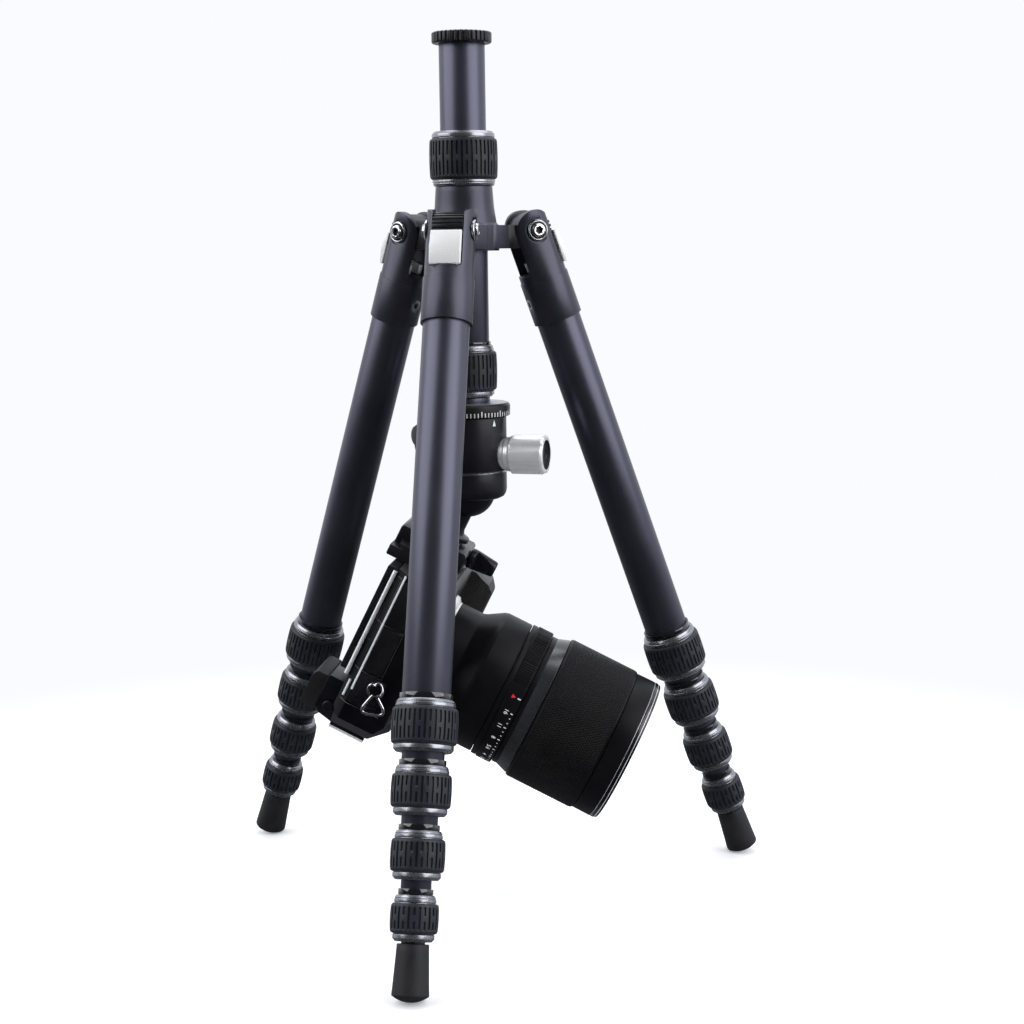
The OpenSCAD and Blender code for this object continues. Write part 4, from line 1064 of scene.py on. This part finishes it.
# rear screen: thin frame and display
screen = bevelled(prism(round_loop([(-17.1, 44.5, 0.6), (-17.1, 101.8, 1.0), (-12.9, 101.8, 0.5),
                                    (-12.1, 101.2, 0.3), (-12.1, 43.7, 0.3), (-16.4, 43.7, 0.5)], n=3),
                        -32, 46), 0.6, 3, 50)
screen = boolean(screen, block(-18, -11, -0.3, 14.3, 43, 46.9), "DIFFERENCE")
finish_mesh(screen, "rear_screen_frame", ("screen_frame",), HUNG, "rear_screen", 30,
            ("rear_screen",), "screen_glass")
glass = bevelled(prism(round_loop([(-29, 48.5), (43, 48.5), (43, 98.5), (-29, 98.5)], 1.5),
                       -17.3, -17.0, "yz"), 0.12, 2, 40)
finish_mesh(glass, "rear_screen_glass", ("display",), HUNG, "rear_screen", 30, (), "screen_glass")

refined("port_door", HUNG, ("gloss",), "soft_rubber")
refined("shutter_button", HUNG, ("chrome",), "bright_steel", None, 0.2)
refined("mode_dial", HUNG, ("satin_black",), "black_aluminium", None, 0.2)

# ------------------------------------------------------------------ lens

barrel = [(26, 21.45, 3), (30.6, 21.7, 3), (30.6, 22.9, 3), (30.4, 23.0, 0), (30.4, 23.3, 0),
          (30.6, 23.4, 0), (30.6, 35.6, 0), (31.2, 37.2, 0, 2), (36, 45, 0, 3), (36.7, 47.2, 0, 1),
          (36.7, 60.4, 0), (36.4, 60.7, 0), (36.4, 61.0, 0), (33, 61.0, 0), (33, 73.3, 0),
          (36.2, 73.3, 0), (36.2, 76, 2), (38.4, 82.3, 2), (38.2, 82.45, 2), (33, 82.45, 0),
          (33, 121.3, 0), (38.6, 121.3, 0), (38.75, 131.4, 1), (38.45, 131.6, 3),
          (38.45, 131.8, 1), (38.7, 132.0, 1), (38.7, 133.4, 1), (38.4, 133.6, 3), (38.4, 133.8, 1),
          (38.3, 134.6, 1), (37.9, 135.0, 1), (36.6, 135.0, 1), (36.0, 134.6, 4), (36, 129, 4),
          (31.2, 128.6, 4), (31, 40, 4), (26, 34, 4)]
on_camera(turned(barrel, 0.25, 180), "lens_barrel_turned",
          ("lens", "lens_gloss", "lens_bevel", "bright_line", "baffle"), 30, "lens_black", LENS,
          ("lens_barrel",))


def ribbed(a, r, z, k):
    """Fine ribs on the ring's base side, away from the scale."""
    deg = math.degrees((a + math.pi) % TAU - math.pi)
    if not 64.7 < z < 72.2 or -24 < deg < 84:
        return r
    return r - (0.35 if (a / TAU * 180) % 1.0 > 0.5 else 0.0)


ring_pts = [(33.06, 61.35, 0), (36.9, 61.35, 0), (37.2, 61.65, 0), (37.2, 63.9, 0), (36.95, 64.0, 0),
            (36.95, 64.3, 0), (37.5, 64.5, 0), (37.6, 64.8, 0), (37.6, 66.5, 0), (37.6, 68.5, 0),
            (37.6, 70.5, 0), (37.6, 72.1, 0), (37.2, 72.95, 0), (33.06, 72.95, 0)]
finish_mesh(turned(ring_pts, 0.12, 720, ribbed), "aperture_ring_turned", ("lens",), LENS,
            "aperture_ring", 30, ("aperture_ring",), "lens_black")

focus_pts = [(33.06, 82.75, 1), (38.9, 82.75, 1), (39.2, 82.95, 1), (39.2, 83.5, 0), (39.48, 83.9, 0),
             (39.5, 90, 0), (39.5, 100, 0), (39.5, 110, 0), (39.5, 119.7, 0), (39.3, 120.0, 1),
             (39.3, 120.6, 1), (39.0, 120.95, 1), (33.06, 120.95, 1)]
finish_mesh(turned(focus_pts, 0.15, 240), "focus_ring_knurled", ("focus", "lens"), LENS,
            "focus_ring", 30, ("focus_ring",), "lens_black")


def numeral(text, psi, z, size):
    """Flat figure wrapped onto the aperture ring, centred at an angle and a height."""
    curve = bpy.data.curves.new("num", "FONT")
    curve.body = text
    curve.align_x, curve.align_y = "CENTER", "CENTER"
    curve.fill_mode = "FRONT"
    curve.resolution_u = 3
    mesh = as_mesh(curve)
    for v in mesh.vertices:
        v.co = polar(SCALE_R, math.radians(psi) + v.co.x * size / SCALE_R, z + v.co.y * size)
    bm = bmesh.new()
    bm.from_mesh(mesh)
    bpy.data.meshes.remove(mesh)
    return bm


def bar(psi, z0, z1, width):
    """Flat stroke on the aperture ring, along the lens."""
    bm = bmesh.new()
    half = width / 2 / SCALE_R
    a = math.radians(psi)
    q = [(a - half, z0), (a + half, z0), (a + half, z1), (a - half, z1)]
    bm.faces.new([bm.verts.new(polar(SCALE_R, t, z)) for t, z in q])
    return bm


# angles in the lens frame run from the camera's left, positive to the camera's top
SCALE_R = 37.66
STOP_STEP = 12.6
INDEX_PSI = -13
STOPS = ("16", "11", "8", "5.6", "4", "2.8", "2")
scale = []
for k, text in enumerate(STOPS):
    psi = STOP_STEP * k
    scale.append((numeral(text, psi, 68.2, 3.1), 0))
    scale.append((bar(psi, 70.6, 71.9, 0.5), 0))
    if k < len(STOPS) - 1:
        for third in (1, 2):
            scale.append((bar(psi + STOP_STEP / 3 * third, 71.1, 71.7, 0.45), 0))
scale.append((bar(INDEX_PSI, 70.4, 72.2, 0.6), 0))
scale.append((triangle(SCALE_R, math.radians(INDEX_PSI), 0.03, 67.2, 69.6), 1))
finish_mesh(merge(*scale), "aperture_scale", ("white", "red"), LENS, "aperture_ring", 60, (),
            "lens_black")

# ------------------------------------------------------------------ floor, light and camera

# round table top, whose edge fades into the white backdrop
FLOOR_R, FADE_START, FADE_END = 0.62, 0.25, 0.60
floor = bmesh.new()
bmesh.ops.create_circle(floor, cap_ends=True, radius=FLOOR_R, segments=96)
floor_mesh = bpy.data.meshes.new("floor")
floor.to_mesh(floor_mesh)
floor.free()
floor_obj = add_object("floor", floor_mesh)
floor_obj.visible_glossy = False
floor_mat = bpy.data.materials.new("pale_floor")
floor_mat.use_nodes = True
fn, fl = floor_mat.node_tree.nodes, floor_mat.node_tree.links
f_bsdf = fn["Principled BSDF"]
f_bsdf.inputs["Base Color"].default_value = (0.90, 0.905, 0.925, 1)
f_bsdf.inputs["Roughness"].default_value = 0.9
f_bsdf.inputs["Specular IOR Level"].default_value = 0.1
f_bsdf.inputs["Emission Color"].default_value = (0.96, 0.97, 1, 1)
f_bsdf.inputs["Emission Strength"].default_value = 0.25
spread = fn.new("ShaderNodeVectorMath")
spread.operation = "LENGTH"
fl.new(fn.new("ShaderNodeTexCoord").outputs["Object"], spread.inputs[0])
fade = map_range(floor_mat.node_tree, spread.outputs["Value"], 1.0, 0.0, FADE_START, FADE_END, True)
fl.new(fade, f_bsdf.inputs["Alpha"])
floor_mesh.materials.append(floor_mat)

# white backdrop for the eye; for the light, a room that is bright behind and low, dark in front
world = bpy.data.worlds.new("studio")
bpy.context.scene.world = world
world.use_nodes = True
wn, wl = world.node_tree.nodes, world.node_tree.links
room = wn["Background"]
back = wn.new("ShaderNodeBackground")
back.inputs["Color"].default_value = (0.955, 0.965, 1.0, 1)
back.inputs["Strength"].default_value = 1.0
direction = wn.new("ShaderNodeSeparateXYZ")
wl.new(wn.new("ShaderNodeTexCoord").outputs["Generated"], direction.inputs[0])
glow = wn.new("ShaderNodeMath")
glow.operation = "MULTIPLY"
for k, (axis, lo, hi, dim) in enumerate(((1, -0.35, 0.35, 0.06), (2, -0.45, 0.05, 0.15))):
    wl.new(map_range(world.node_tree, direction.outputs[axis], dim, 1.0, lo, hi, True), glow.inputs[k])
wl.new(glow.outputs[0], room.inputs["Strength"])
room.inputs["Color"].default_value = (0.93, 0.95, 1.0, 1)
pick = wn.new("ShaderNodeMixShader")
wl.new(wn.new("ShaderNodeLightPath").outputs["Is Camera Ray"], pick.inputs[0])
wl.new(room.outputs[0], pick.inputs[1])
wl.new(back.outputs[0], pick.inputs[2])
wl.new(pick.outputs[0], wn["World Output"].inputs["Surface"])


def area(name, location, target, size, size_y, power):
    light = bpy.data.lights.new(name, "AREA")
    light.shape = "RECTANGLE"
    light.size, light.size_y, light.energy = size, size_y, power
    obj = add_object(name, light)
    obj.location = location
    obj.rotation_mode = "QUATERNION"
    obj.rotation_quaternion = (Vector(target) - Vector(location)).to_track_quat("-Z", "Y")


area("softbox_right", (1.20, -0.45, 0.90), (0, 0, 0.28), 1.3, 1.5, 19)
area("softbox_left", (-1.15, -0.50, 1.05), (0, 0, 0.28), 1.5, 1.4, 19)
area("softbox_top", (0, 0.50, 1.45), (0, 0, 0.1), 1.3, 1.0, 8)

cam_data = bpy.data.cameras.new("photo_camera")
cam = add_object("photo_camera", cam_data)
SENSOR_MM, FOCAL_PX, IMAGE_PX = 36.0, 1877.56, 1024
CAMERA_AT = Vector((184.72, -947.42, 338.71)) * MM
cam_data.sensor_width = SENSOR_MM
cam_data.lens = FOCAL_PX * SENSOR_MM / IMAGE_PX
cam_data.clip_start, cam_data.clip_end = 0.05, 20
YAW, PITCH, ROLL = (math.radians(a) for a in (-9.72, -8.094, -0.771))
forward = Vector((math.sin(YAW) * math.cos(PITCH), math.cos(YAW) * math.cos(PITCH), math.sin(PITCH)))
right0 = Vector((math.cos(YAW), -math.sin(YAW), 0))
up0 = right0.cross(forward)
right = right0 * math.cos(ROLL) + up0 * math.sin(ROLL)
up = up0 * math.cos(ROLL) - right0 * math.sin(ROLL)
cam.matrix_world = frame_from(CAMERA_AT, right, up, -forward)
bpy.context.scene.camera = cam
bpy.context.scene.view_settings.view_transform = "Standard"
